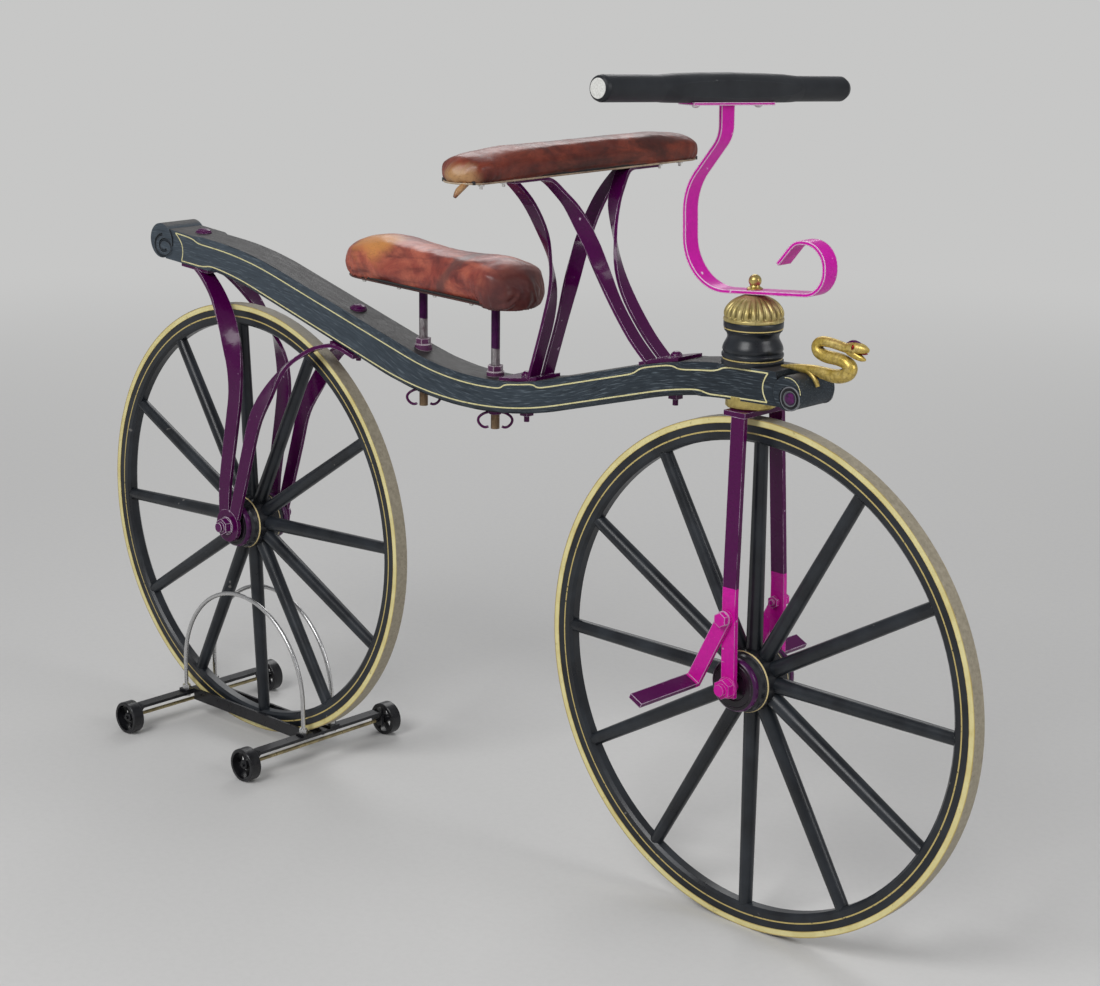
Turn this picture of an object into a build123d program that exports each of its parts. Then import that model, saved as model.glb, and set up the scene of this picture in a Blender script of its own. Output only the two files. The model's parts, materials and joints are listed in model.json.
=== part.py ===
from build123d import *
import math
import os

# Dandy horse: two wooden wheels in line under a carved wooden beam, parked in a wheeled stand.
# Millimetres. +X is forward, +Y is the rider's left, +Z is up.
# The origin is on the floor, halfway between the two axles.

# Wheels
wheelbase = 1056.0
wheel_radius = 360.0
tyre_thickness = 9.0
tyre_width = 22.0
felloe_depth = 24.0
felloe_width = 21.0
felloe_bevel = 4.0
spoke_count = 12
spoke_hub_radius = 11.5
spoke_rim_radius = 9.5
front_spoke_phase = 0.0
rear_spoke_phase = 3.0
hub_radius = 43.0
hub_half_length = 44.0
hub_band_radius = 33.0
hub_band_length = 10.0
hub_shoulder_radius = 39.0
hub_shoulder_length = 13.0
hub_recess_radius = 22.0
hub_recess_depth = 2.0
axle_radius = 8.0
axle_end = 19.0
bearing_clearance = 0.05
rear_lift = 14.5

# Beam, seen from the side: the corners of its top and bottom lines, and how round each corner is
beam_half_width = 33.0
scroll_half_width = 35.0
top_corners = [(-700.0, 844.0), (-497.5, 827.8), (23.8, 681.8), (420.4, 788.9), (572.0, 793.5)]
top_rounding = [800.0, 550.0, 750.0]
bottom_corners = [(-700.0, 793.5), (-542.3, 782.5), (0.0, 627.9), (426.8, 743.1), (585.0, 748.6)]
bottom_rounding = [650.0, 690.0, 600.0]
rear_scroll_centre = (-708.0, 822.5)
rear_scroll_radius = 28.5
front_scroll_centre = (594.0, 768.5)
front_scroll_radius = 22.8

# Stopped chamfers along the beam's edges, from one x to another, and the carved spirals on its ends
chamfer_size = 7.0
chamfer_stop = 14.0
top_chamfers = [(-625.0, 84.0), (141.0, 340.0), (400.0, 485.0)]
bottom_chamfers = [(-590.0, 450.0)]
rear_spiral_centre = (-700.0, 813.0)
rear_spiral_radii = (20.0, 6.0)
rear_spiral_depth = 2.5
rear_spiral_stretch = 1.35
front_spiral_centre = (596.0, 763.0)
front_spiral_radii = (14.5, 6.5)
front_spiral_depth = 2.1

# Head of the beam
steering_x = 508.0
steering_pin_radius = 8.0
collar_radius = 34.0
collar_height = 12.5
vase_height = 56.0
vase_radius = 41.0
dome_radius = 40.0
dome_height = 34.0
ball_radius = 8.5
ball_rise = 11.5

# Fork
crown_thickness = 7.0
crown_length = 36.0
crown_forward = 7.0
blade_top_forward = 13.0
stud_radius = 4.0
blade_top_inner_y = 36.0
blade_inner_y = 48.5
blade_knee_z = 485.0
blade_thickness = 7.0
blade_width = 22.0
blade_below_axle = 14.0
play = 0.3

# Steering strap, from the handlebar plate down to the head and up into its scroll
strap_width = 26.0
strap_thickness = 5.0
strap_slope = 0.083
strap_rise = 1.5
handlebar_x = 454.0
handlebar_z = 1143.0
handlebar_half_length = 251.0
handlebar_end_radius = 17.0
handlebar_middle_radius = 21.0
handlebar_flat = 17.5
handlebar_tilt = 3.1
handlebar_plate_half_length = 83.0
handlebar_plate_thickness = 4.0

# Footrests
footrest_bolt_x = 522.0
footrest_bolt_z = 456.0
footrest_step_x = 472.0
footrest_step_z = 358.0
footrest_reach = 178.0
footrest_bar_width = 22.0
footrest_bar_thickness = 6.0
footrest_step_width = 22.0
footrest_step_thickness = 7.0
footrest_bolt_radius = 4.0

# Arm rest
rest_x = 187.0
rest_half_length = 245.0
rest_half_width = 42.0
rest_height = 32.0
rest_board_z = 1015.0
rest_board_thickness = 5.0
rest_board_half_length = 226.0
rest_board_half_width = 30.0
arm_width = 22.0
arm_thickness = 5.0
foot_plate_thickness = 5.0
foot_plate_half_width = 25.0

# Saddle
saddle_board_z = 812.0
saddle_board_thickness = 5.0
saddle_rear_x = -266.0
saddle_front_x = 112.0
saddle_half_width = 60.0
saddle_height = 57.0
saddle_tip = 1.7
saddle_post_places = [-118.0, 34.0]
saddle_post_radius = 6.5
saddle_dip = 11.0
post_end = 22.0
horn_nut_height = 9.0
horn_reach = 25.0
horn_drop = 22.0
horn_radius = 2.0
horn_turn = 43.0

# Rear stays
stay_thickness = 6.0
rear_bolt_x = -640.0
fore_bolt_x = -264.0
rear_eye_radius = 27.0

# Bolts through the beam
frame_bolt_radius = 4.0
frame_bolt_head = 13.5
foot_bolt_head = 8.5
rear_foot_bolt_x = 98.0
front_foot_bolt_x = 378.0

# Stand
stand_half_spacing = 154.0
stand_bar_half_length = 135.0
stand_bar_width = 20.0
stand_bar_thickness = 5.0
stand_clearance = 0.3
stand_rail_inner_y = 19.0
stand_rail_height = 20.0
stand_rail_thickness = 4.0
roller_radius = 27.0
roller_width = 20.0
roller_inner_y = 142.0
roller_rod_radius = 3.0
roller_boss_radius = 8.0
roller_spoke_count = 5
roller_rod_end = 3.0
hoop_height = 249.0
hoop_rod_radius = 3.5
hoop_y = 31.0

crown_x = steering_x + crown_forward
blade_top_x = steering_x + blade_top_forward
front_axle_x = wheelbase / 2
rear_axle_x = -wheelbase / 2
front_axle_z = wheel_radius
rear_axle_z = wheel_radius + rear_lift
blade_outer_y = blade_inner_y + blade_thickness
stay_y = blade_inner_y + blade_thickness / 2
roller_outer_y = roller_inner_y + roller_width


def rounded(corners, radii):
    """Lists the lines and arcs of a path in the XZ plane whose inner corners are rounded."""
    pieces = []
    start = corners[0]
    for before, corner, after, radius in zip(corners, corners[1:], corners[2:], radii):
        into = Vector(corner[0] - before[0], corner[1] - before[1], 0).normalized()
        out = Vector(after[0] - corner[0], after[1] - corner[1], 0).normalized()
        turn = math.radians(into.get_angle(out))
        reach = radius * math.tan(turn / 2)
        first = (corner[0] - into.X * reach, corner[1] - into.Y * reach)
        last = (corner[0] + out.X * reach, corner[1] + out.Y * reach)
        inward = (out - into).normalized()
        centre_gap = radius / math.cos(turn / 2)
        centre = (corner[0] + inward.X * centre_gap, corner[1] + inward.Y * centre_gap)
        middle = (centre[0] - inward.X * radius, centre[1] - inward.Y * radius)
        pieces.append(("line", start, first))
        pieces.append(("arc", first, middle, last, centre, radius))
        start = last
    pieces.append(("line", start, corners[-1]))
    return pieces


def edges_of(pieces):
    """Edges in the XZ plane of a rounded path."""
    edges = []
    for piece in pieces:
        points = [(x, 0, z) for x, z in piece[1:4]]
        if piece[0] == "line":
            edges.append(Edge.make_line(points[0], points[1]))
        else:
            edges.append(Edge.make_three_point_arc(points[0], points[1], points[2]))
    return edges


def height_on(pieces, x):
    """Height of a rounded path at x, for a path that runs forward."""
    for piece in pieces:
        last = piece[3] if piece[0] == "arc" else piece[2]
        if x <= last[0] or piece is pieces[-1]:
            if piece[0] == "line":
                (x0, z0), (x1, z1) = piece[1], piece[2]
                return z0 + (z1 - z0) * (x - x0) / (x1 - x0)
            (cx, cz), radius = piece[4], piece[5]
            rise = math.sqrt(radius * radius - (x - cx) ** 2)
            return cz - rise if piece[2][1] < cz else cz + rise
    return None


def shifted(corners, radii, distance):
    """Corners and radii of the path that runs at a distance to the left of the given one."""
    moved = []
    new_radii = []
    count = len(corners)
    for place in range(count):
        before = corners[max(place - 1, 0)]
        here = corners[place]
        after = corners[min(place + 1, count - 1)]
        if place == 0:
            before = (2 * here[0] - after[0], 2 * here[1] - after[1])
        if place == count - 1:
            after = (2 * here[0] - before[0], 2 * here[1] - before[1])
        into = Vector(here[0] - before[0], here[1] - before[1], 0).normalized()
        out = Vector(after[0] - here[0], after[1] - here[1], 0).normalized()
        left = Vector(-into.Y - out.Y, into.X + out.X, 0).normalized()
        half_turn = math.radians(into.get_angle(out)) / 2
        reach = distance / math.cos(half_turn)
        moved.append((here[0] + left.X * reach, here[1] + left.Y * reach))
        if 0 < place < count - 1:
            turns_left = into.X * out.Y - into.Y * out.X > 0
            radius = radii[place - 1]
            new_radii.append(radius - distance if turns_left else radius + distance)
    return moved, new_radii


def strip(corners, radii, thickness, breadth, y=0.0):
    """Flat bar bent along a rounded path in the XZ plane, with its breadth along Y about y."""
    left = rounded(*shifted(corners, radii, thickness / 2))
    right = rounded(*shifted(corners, radii, -thickness / 2))
    first_cap = Edge.make_line(*[(side[0][1][0], 0, side[0][1][1]) for side in (left, right)])
    last_cap = Edge.make_line(*[(side[-1][2][0], 0, side[-1][2][1]) for side in (left, right)])
    outline = Wire(edges_of(left) + [last_cap] + edges_of(right) + [first_cap])
    bar = extrude(make_face(outline), amount=breadth / 2, dir=(0, 1, 0), both=True)
    return Pos(0, y, 0) * bar


def filled_in(stations, steps=4):
    """Adds stations between the given ones, on a smooth curve through them."""
    filled = []
    ends = [stations[0]] + stations + [stations[-1]]
    for before, first, last, after in zip(ends, ends[1:], ends[2:], ends[3:]):
        for step in range(steps):
            t = step / steps
            filled.append([0.5 * (2 * b + (c - a) * t + (2 * a - 5 * b + 4 * c - d) * t * t
                                  + (3 * b - 3 * c + d - a) * t * t * t)
                           for a, b, c, d in zip(before, first, last, after)])
    return filled + [stations[-1]]


def twisted_bar(given_stations, side, thickness):
    """Flat bar through stations of x, y, z, width direction x, y, z and width, on one side."""
    stations = filled_in(given_stations)
    places = [Vector(x, side * y, z) for x, y, z, wx, wy, wz, width in stations]
    faces = []
    for index, (x, y, z, wx, wy, wz, width) in enumerate(stations):
        ahead = places[min(index + 1, len(places) - 1)]
        behind = places[max(index - 1, 0)]
        along = (ahead - behind).normalized()
        across = Vector(wx, side * wy, wz)
        across = (across - along * across.dot(along)).normalized()
        plane = Plane(origin=places[index], x_dir=across, z_dir=along)
        faces.append(plane * Rectangle(width, thickness))
    return loft(faces, ruled=True)


def rod(start, end, radius, end_radius=None):
    """Round rod between two points, or a cone where it ends in another radius."""
    start, end = Vector(*start), Vector(*end)
    plane = Plane(origin=start, z_dir=end - start)
    length = (end - start).length
    if end_radius is None or end_radius == radius:
        return plane * Cylinder(radius, length, align=(Align.CENTER, Align.CENTER, Align.MIN))
    return plane * Cone(radius, end_radius, length, align=(Align.CENTER, Align.CENTER, Align.MIN))


def turned(outline, base, direction=(0, 0, 1)):
    """Turned piece: an outline of radius and height pairs, spun about an axis through its base."""
    profile = make_face(Polyline(*[(r, 0, h) for r, h in outline], close=True))
    return Plane(origin=base, z_dir=direction) * revolve(profile, Axis.Z, 360)


def hexagon(centre, direction, across_flats, height):
    """Hexagonal nut or bolt head standing on a point."""
    flat = RegularPolygon(across_flats / 2, 6, major_radius=False)
    return extrude(Plane(origin=centre, z_dir=direction) * flat, amount=height)


def top_height(x):
    """Height of the beam's top line at x."""
    return height_on(top_path, x)


def bottom_height(x):
    """Height of the beam's bottom line at x."""
    return height_on(bottom_path, x)


def slab_on_beam(x_from, x_to, thickness, half_width, above=True):
    """Plate bent to lie on the top or the bottom of the beam, from one x to another."""
    corners, radii = (top_corners, top_rounding) if above else (bottom_corners, bottom_rounding)
    middle = shifted(corners, radii, thickness / 2 if above else -thickness / 2)
    plate = strip(middle[0], middle[1], thickness, 2 * half_width)
    window = Pos((x_from + x_to) / 2, 0, 780) * Box(x_to - x_from, 200, 400)
    return plate & window


def chamfer_cutter(height, start, end):
    """Tool that cuts both edges of the beam's top or bottom back, and runs out to nothing at its ends."""
    inner = [start + chamfer_stop + (end - start - 2 * chamfer_stop) * step / 14 for step in range(15)]
    cutters = []
    for side in (-1, 1):
        y = side * beam_half_width
        faces = []
        for x, size in [(start, 0.3)] + [(x, chamfer_size) for x in inner] + [(end, 0.3)]:
            along = Vector(2, 0, height(x + 1) - height(x - 1))
            plane = Plane(origin=(x, y, height(x)), x_dir=(0, 1, 0), z_dir=along)
            faces.append(plane * Rot(0, 0, 45) * Rectangle(size * math.sqrt(2), size * math.sqrt(2)))
        cutters.append(loft(faces, ruled=True))
    return cutters[0] + cutters[1]


def spiral_groove(centre, radii, depth, turn_way, stretch=1.0):
    """Tool that carves one spiral groove, longer than high where it is stretched, into both faces of a scroll."""
    outer, inner = radii
    steps = 20
    points = []
    for step in range(steps + 1):
        angle = turn_way * (math.radians(100) + 3.2 * math.pi * step / steps)
        radius = outer + (inner - outer) * step / steps
        points.append((centre[0] + stretch * radius * math.cos(angle), 0, centre[1] + radius * math.sin(angle)))
    path = Spline(*points)
    section = Plane(origin=path @ 0, z_dir=path % 0) * Circle(depth)
    groove = sweep(section, path=path)
    return Pos(0, scroll_half_width, 0) * groove + Pos(0, -scroll_half_width, 0) * groove


def beam():
    """Wooden beam with a volute across each end, bored for the steering pin, posts and bolts."""
    top_start, top_end = top_path[0][1], top_path[-1][2]
    bottom_start, bottom_end = bottom_path[0][1], bottom_path[-1][2]
    tail = Edge.make_line((bottom_start[0], 0, bottom_start[1]), (top_start[0], 0, top_start[1]))
    nose = Edge.make_line((top_end[0], 0, top_end[1]), (bottom_end[0], 0, bottom_end[1]))
    outline = Wire(edges_of(top_path) + [nose] + edges_of(bottom_path) + [tail])
    body = extrude(make_face(outline), amount=beam_half_width, dir=(0, 1, 0), both=True)
    for (x, z), radius in ((rear_scroll_centre, rear_scroll_radius),
                           (front_scroll_centre, front_scroll_radius)):
        body += rod((x, -scroll_half_width, z), (x, scroll_half_width, z), radius)
    body -= Pos(steering_x, 0, 780) * Cylinder(steering_pin_radius + bearing_clearance, 200)
    for start, end in top_chamfers:
        body -= chamfer_cutter(top_height, start, end)
    for start, end in bottom_chamfers:
        body -= chamfer_cutter(bottom_height, start, end)
    body -= spiral_groove(rear_spiral_centre, rear_spiral_radii, rear_spiral_depth, 1, rear_spiral_stretch)
    body -= spiral_groove(front_spiral_centre, front_spiral_radii, front_spiral_depth, -1)
    for x in saddle_post_places:
        body -= Pos(x, 0, 680) * Cylinder(saddle_post_radius, 200)
    for x in (rear_bolt_x, fore_bolt_x, rear_foot_bolt_x, front_foot_bolt_x):
        body -= Pos(x, 0, 760) * Cylinder(frame_bolt_radius, 240)
    return body


def frame_bolt(x, above, below, plate, head_radius):
    """Upright bolt through the beam and a plate: a domed head above and a square nut below."""
    top = top_height(x) + above
    bottom = bottom_height(x) - below
    head = [(0, -3), (head_radius, -3), (head_radius, 1), (head_radius * 0.85, 4), (head_radius * 0.5, 6.5), (0, 7)]
    shape = rod((x, 0, bottom - 16), (x, 0, top), frame_bolt_radius)
    shape += turned(head, (x, 0, top))
    nut = Pos(x, 0, bottom - 3.5) * Box(14, 14, 7)
    return shape + nut - beam_solid - plate


def wheel(name, axle_x, axle_z, phase):
    """Writes the tyre, felloe, spokes and hub of one wheel."""
    centre = Pos(axle_x, 0, axle_z) * Rot(90, 0, 0)
    rim_radius = wheel_radius - tyre_thickness
    inner_radius = rim_radius - felloe_depth
    bore = axle_radius + bearing_clearance
    tyre = Cylinder(wheel_radius, tyre_width) - Cylinder(rim_radius, tyre_width + 2)
    ring = Cylinder(rim_radius, felloe_width) - Cylinder(inner_radius, felloe_width + 2)
    inner_edges = ring.edges().filter_by(GeomType.CIRCLE).sort_by(SortBy.RADIUS)[:2]
    felloe = chamfer(inner_edges, felloe_bevel)
    band_start = hub_half_length - hub_band_length
    barrel_start = band_start - hub_shoulder_length
    half = [(hub_radius, barrel_start), (hub_radius - 1, barrel_start + 2),
            (hub_shoulder_radius + 1, barrel_start + 3), (hub_shoulder_radius, band_start - 4),
            (hub_shoulder_radius - 3, band_start), (hub_band_radius, band_start + 1),
            (hub_band_radius - 1, hub_half_length - 2), (hub_band_radius - 3, hub_half_length),
            (hub_recess_radius, hub_half_length), (hub_recess_radius - 2, hub_half_length - hub_recess_depth),
            (bore, hub_half_length - hub_recess_depth)]
    outline = [(r, -h) for r, h in reversed(half)] + half
    hub = turned(outline, (0, 0, 0))
    spokes = []
    for number in range(spoke_count):
        turn = phase + number * 360 / spoke_count
        blank = rod((hub_radius * 0.7, 0, 0), (inner_radius + 10, 0, 0), spoke_hub_radius, spoke_rim_radius)
        spoke = (blank - hub - felloe).solids().sort_by(Axis.X)[0]
        spokes.append(centre * Rot(0, 0, turn) * spoke)
    write(f"{name}_tyre", centre * tyre)
    write(f"{name}_felloe", centre * felloe)
    write(f"{name}_hub", centre * hub)
    write(f"{name}_spokes", Compound(spokes))


def axle(axle_x, axle_z):
    """Axle rod with a washer and a hexagonal nut outside the fork or the stays on each side."""
    tip = blade_outer_y + axle_end
    shape = rod((axle_x, -tip, axle_z), (axle_x, tip, axle_z), axle_radius)
    for side in (-1, 1):
        washer_from = (axle_x, side * blade_outer_y, axle_z)
        washer_to = (axle_x, side * (blade_outer_y + 2), axle_z)
        shape += rod(washer_from, washer_to, 2 * axle_radius - 1)
        shape += hexagon(washer_to, (0, side, 0), 3 * axle_radius, 11)
    return shape


def head():
    """Turned vase on the beam, and the gilt dome on it."""
    bore = steering_pin_radius + bearing_clearance
    tall = vase_height / 56
    vase = turned([(bore, -3), (vase_radius, -3), (vase_radius, 10 * tall), (vase_radius - 2, 12.5 * tall),
                   (vase_radius - 0.8, 16 * tall), (vase_radius - 0.8, 21 * tall), (vase_radius - 3, 27 * tall),
                   (vase_radius - 5.5, 34 * tall), (vase_radius - 4.5, 39 * tall), (vase_radius - 1, 43 * tall),
                   (vase_radius - 0.5, vase_height), (bore, vase_height)], (steering_x, 0, head_z))
    rise = dome_height / 34
    dome = turned([(bore, 0), (dome_radius, 0), (dome_radius, 7 * rise), (dome_radius - 1, 13 * rise),
                   (dome_radius - 4, 19 * rise), (dome_radius - 10, 25.5 * rise), (dome_radius - 18, 30.5 * rise),
                   (14, dome_height), (bore, dome_height)], (steering_x, 0, head_z + vase_height))
    return vase, dome


def fork():
    """Crown with its steering pin, and one blade on each side down to the axle."""
    top_stud = strap_z + strap_thickness / 2 + ball_radius
    crown_reach = blade_top_inner_y + blade_thickness
    bar = Pos(crown_x, 0, crown_top - crown_thickness / 2) * Box(crown_length, 2 * crown_reach, crown_thickness)
    pin = rod((steering_x, 0, crown_top), (steering_x, 0, dome_top), steering_pin_radius)
    stud = rod((steering_x, 0, dome_top), (steering_x, 0, top_stud), stud_radius)
    blades = {}
    blade_top_z = crown_top - crown_thickness
    foot_z = front_axle_z - blade_below_axle
    knee_x = front_axle_x + (blade_top_x - front_axle_x) * (blade_knee_z - foot_z) / (blade_top_z - foot_z)
    for name, side in (("left", 1), ("right", -1)):
        faces = []
        for x, inner_y, z in ((blade_top_x, blade_top_inner_y, blade_top_z), (knee_x, blade_inner_y, blade_knee_z),
                              (front_axle_x, blade_inner_y, foot_z)):
            plane = Plane(origin=(x, side * (inner_y + blade_thickness / 2), z))
            faces.append(plane * Rectangle(blade_width, blade_thickness))
        blade = loft(faces, ruled=True)
        blade -= rod((front_axle_x, -99, front_axle_z), (front_axle_x, 99, front_axle_z), axle_radius)
        blade -= rod((footrest_bolt_x, -99, footrest_bolt_z), (footrest_bolt_x, 99, footrest_bolt_z),
                     footrest_bolt_radius)
        blades[name] = blade - bar
    return bar + pin + stud, blades


def footrest(side):
    """Bar bolted on the outside of a blade, with the flat step that turns outwards at its foot."""
    y = side * (blade_outer_y + footrest_bar_thickness / 2)
    top = Vector(footrest_bolt_x, 0, footrest_bolt_z)
    foot = Vector(footrest_step_x, 0, footrest_step_z)
    bar = strip([(top.X, top.Z), (foot.X, foot.Z)], [], footrest_bar_width, footrest_bar_thickness, y)
    for place in (top, foot):
        near = side * blade_outer_y
        far = side * (blade_outer_y + footrest_bar_thickness)
        bar += rod((place.X, near, place.Z), (place.X, far, place.Z), footrest_bar_width / 2)
    down = (foot - top).normalized()
    across = (-down.Z, 0, down.X)
    step_plane = Plane(origin=(foot.X, side * blade_outer_y, foot.Z), x_dir=across, z_dir=(0, side, 0))
    reach = footrest_reach - blade_outer_y
    step = extrude(step_plane * Rectangle(footrest_step_width, footrest_step_thickness), amount=reach)
    near_head = side * (blade_outer_y + footrest_bar_thickness)
    bolt = hexagon((top.X, near_head, top.Z), (0, side, 0), 18, 8)
    nut_y = side * blade_inner_y
    bolt += rod((top.X, nut_y - side * 8, top.Z), (top.X, near_head, top.Z), footrest_bolt_radius)
    bolt += hexagon((top.X, nut_y, top.Z), (0, -side, 0), 15, 5)
    return bar + step + bolt


def steering_strap():
    """Flat iron strap from the handlebar plate to the head, ending in a scroll."""
    bow_x, curl_x, curl_top = steering_x - 111, steering_x + 119, 960
    low_z = strap_z + strap_rise + strap_slope * (bow_x - steering_x)
    high_z = strap_z + strap_rise + strap_slope * (curl_x - steering_x)
    path = [(handlebar_x - 2, handlebar_z), (handlebar_x - 1, 1082), (bow_x - 2.5, 1009.5), (bow_x + 2, low_z),
            (curl_x, high_z), (curl_x, curl_top), (curl_x - 47, curl_top), (curl_x - 74, curl_top - 32)]
    strap = strip(path, [40, 80, 66, 32, 31, 25], strap_thickness, strap_width)
    return strap - rod((steering_x, 0, strap_z - 9), (steering_x, 0, strap_z + 9), stud_radius)


def handlebar():
    """Turned wooden grip bar with a flat below, and the iron plate let into that flat."""
    half = handlebar_half_length
    thin, thick = handlebar_end_radius, handlebar_middle_radius
    outline = [(0, -half), (thin - 5, -half), (thin - 1.5, 2.5 - half), (thin, 7 - half),
               (thin, -half * 0.56), (thin + 2, -half * 0.44),
               (thick - 1, -half * 0.28), (thick, 0), (thick - 1, half * 0.28), (thin + 2, half * 0.44),
               (thin, half * 0.56), (thin, half - 12), (thin - 3, half - 5), (thin - 9, half), (0, half)]
    grip = turned(outline, (0, 0, 0), (0, 1, 0))
    grip &= Pos(0, 0, thick - handlebar_flat) * Box(2 * handlebar_flat, 4 * half, 2 * thick)
    plate_z = 1 - handlebar_flat - handlebar_plate_thickness / 2
    plate = Pos(0, 0, plate_z) * Box(strap_width, 2 * handlebar_plate_half_length, handlebar_plate_thickness)
    tilt = Pos(handlebar_x, 0, handlebar_z) * Rot(-handlebar_tilt, 0, 0)
    room = Pos(0, 0, plate_z) * Box(2 * thick, 2 * handlebar_plate_half_length, handlebar_plate_thickness)
    return tilt * (grip - room), tilt * plate


def rear_rest_strap():
    """Foot on the beam and two arms that rise side by side and part under the arm rest."""
    foot = slab_on_beam(66, 140, foot_plate_thickness, foot_plate_half_width)
    start = top_height(126) + 2
    # x, y, z, width direction x, y, z, width
    stations = [
        (124, 14.5, start, 0, 1, 0, arm_width),
        (133, 14.5, 742, 0, 1, 0, arm_width),
        (152, 15.0, 800, 0, 1, 0, arm_width),
        (163, 18.0, 845, 0.35, 1, 0, arm_width),
        (168, 28.0, 887, 0.9, 0.9, 0, arm_width),
        (170, 46.0, 931, 1, 0.2, 0, arm_width),
        (171, 74.0, 973, 1, 0, 0, arm_width),
        (173, 108.0, 1004, 1, 0, 0, arm_width),
        (174, 128.0, under_board, 1, 0, 0, arm_width),
        (174, 150.0, under_board, 1, 0, 0, arm_width),
        (174, 190.0, under_board, 1, 0, 0, arm_width),
    ]
    return rest_strap(foot, stations, rear_foot_bolt_x)


def front_rest_strap():
    """The same strap in front, its foot towards the head and its arms leaning back."""
    foot = slab_on_beam(332, 402, foot_plate_thickness, foot_plate_half_width)
    start = top_height(346) + 2
    stations = [
        (346, 15.0, start, 0, -1, 0, arm_width),
        (314, 15.0, 800, 0, -1, 0, arm_width),
        (280, 15.0, 842, 0, -1, 0, arm_width),
        (257, 17.0, 882, 0.35, -1, 0, arm_width),
        (240, 26.0, 925, 0.9, -0.9, 0, arm_width),
        (223, 42.0, 968, 1, -0.2, 0, arm_width),
        (214, 60.0, 992, 1, 0, 0, arm_width),
        (208, 76.0, 1008, 1, 0, 0, arm_width),
        (204, 90.0, under_board, 1, 0, 0, arm_width),
        (202, 106.0, under_board, 1, 0, 0, arm_width),
        (202, 146.0, under_board, 1, 0, 0, arm_width),
    ]
    return rest_strap(foot, stations, front_foot_bolt_x)


def rest_strap(foot, stations, bolt_x):
    """Joins a foot plate and its two arms, cut level where the arm rest's board sits on them."""
    shape = foot
    for side in (-1, 1):
        shape += twisted_bar(stations, side, arm_thickness)
    shape -= Pos(0, 0, rest_board_z + 20) * Box(1200, 600, 40)
    shape -= beam_solid
    return shape - Pos(bolt_x, 0, 760) * Cylinder(frame_bolt_radius, 200)


def rear_fork():
    """Foot plate under the beam's tail and the two stays that run down to the rear axle."""
    foot = slab_on_beam(rear_bolt_x - 22, rear_bolt_x + 45, stay_thickness, 30, above=False)
    start = bottom_height(-630) - stay_thickness / 2
    stations = [
        (-630, 17, start, 0, -1, 0, 24),
        (-601, 24, 773, 0, -1, 0, 26),
        (-564, 32, 745, 0.15, -1, 0, 28),
        (-531, 41, 702, 0.8, -0.9, 0, 30),
        (-509, 48, 652, 1, -0.25, 0, 30),
        (-504, 51, 600, 1, 0, 0, 29),
        (-513, stay_y, 545, 1, 0, 0, 28),
        (-534, stay_y, 440, 1, 0, 0, 26),
        (-536, stay_y, 385, 1, 0, 0, 24),
    ]
    shape = foot
    for side in (-1, 1):
        shape += twisted_bar(stations, side, stay_thickness)
        inner, outer = side * blade_inner_y, side * blade_outer_y
        shape += rod((rear_axle_x, inner, rear_axle_z), (rear_axle_x, outer, rear_axle_z), rear_eye_radius)
    shape -= rod((rear_axle_x, -99, rear_axle_z), (rear_axle_x, 99, rear_axle_z), axle_radius)
    shape -= beam_solid
    return shape - Pos(rear_bolt_x, 0, 760) * Cylinder(frame_bolt_radius, 240)


def fore_fork(rear_solid):
    """Foot plate further forward and the two stays that curve back and down to the same axle."""
    foot = slab_on_beam(fore_bolt_x - 30, fore_bolt_x + 22, stay_thickness, 32, above=False)
    start = bottom_height(-285) - stay_thickness / 2
    stations = [
        (-272, 21, bottom_height(-272) - stay_thickness / 2, 0, 1, 0, 22),
        (-292, 26, start - 1, 0, 1, 0, 23),
        (-328, 36, 694, 0.15, 1, 0, 24),
        (-378, 45, 663, 0.8, 0.9, 0, 25),
        (-419, 50, 616, 1, 0.25, 0, 26),
        (-453, 51, 567, 1, 0, 0, 26),
        (-474, stay_y, 507, 1, 0, 0, 25),
        (-494, stay_y, 446, 1, 0, 0, 24),
        (-512, stay_y, 392, 1, 0, 0, 22),
    ]
    shape = foot
    for side in (-1, 1):
        shape += twisted_bar(stations, side, stay_thickness)
    shape -= beam_solid
    shape -= rear_solid
    shape -= rod((rear_axle_x, -99, rear_axle_z), (rear_axle_x, 99, rear_axle_z), axle_radius * 2)
    return shape - Pos(fore_bolt_x, 0, 760) * Cylinder(frame_bolt_radius, 240)


def arm_rest():
    """Iron board across the beam and the padded roll that wraps over it."""
    board = Pos(rest_x, 0, rest_board_z + rest_board_thickness / 2) * Box(
        2 * rest_board_half_width, 2 * rest_board_half_length, rest_board_thickness)
    plan = Pos(rest_x, 0, rest_board_z) * Rot(0, 0, 90) * SlotOverall(2 * rest_half_length, 2 * rest_half_width)
    pad = extrude(plan, amount=rest_board_thickness + rest_height)
    pad = fillet(pad.faces().sort_by(Axis.Z)[-1].edges(), rest_height * 0.6)
    return board, pad - board


def saddle():
    """Board on the two posts and the long padded seat over it, tipped a little forward and low in its middle."""
    length = saddle_front_x - saddle_rear_x
    middle_x = (saddle_front_x + saddle_rear_x) / 2
    board_plan = Pos(middle_x, 0, saddle_board_z) * SlotOverall(length - 24, 2 * saddle_half_width - 24)
    board = extrude(board_plan, amount=saddle_board_thickness)
    plan = Pos(middle_x, 0, saddle_board_z) * SlotOverall(length, 2 * saddle_half_width)
    height = saddle_board_thickness + saddle_height
    pad = extrude(plan, amount=height)
    dip_radius = 620.0
    dip = Pos(middle_x + 12, 0, saddle_board_z + height - saddle_dip + dip_radius)
    pad -= dip * Rot(90, 0, 0) * Cylinder(dip_radius, 4 * saddle_half_width)
    front = Pos(saddle_front_x, 0, saddle_board_z)
    tip = front * Rot(0, saddle_tip, 0) * front.inverse()
    return tip * board, tip * (pad - board)


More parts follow.
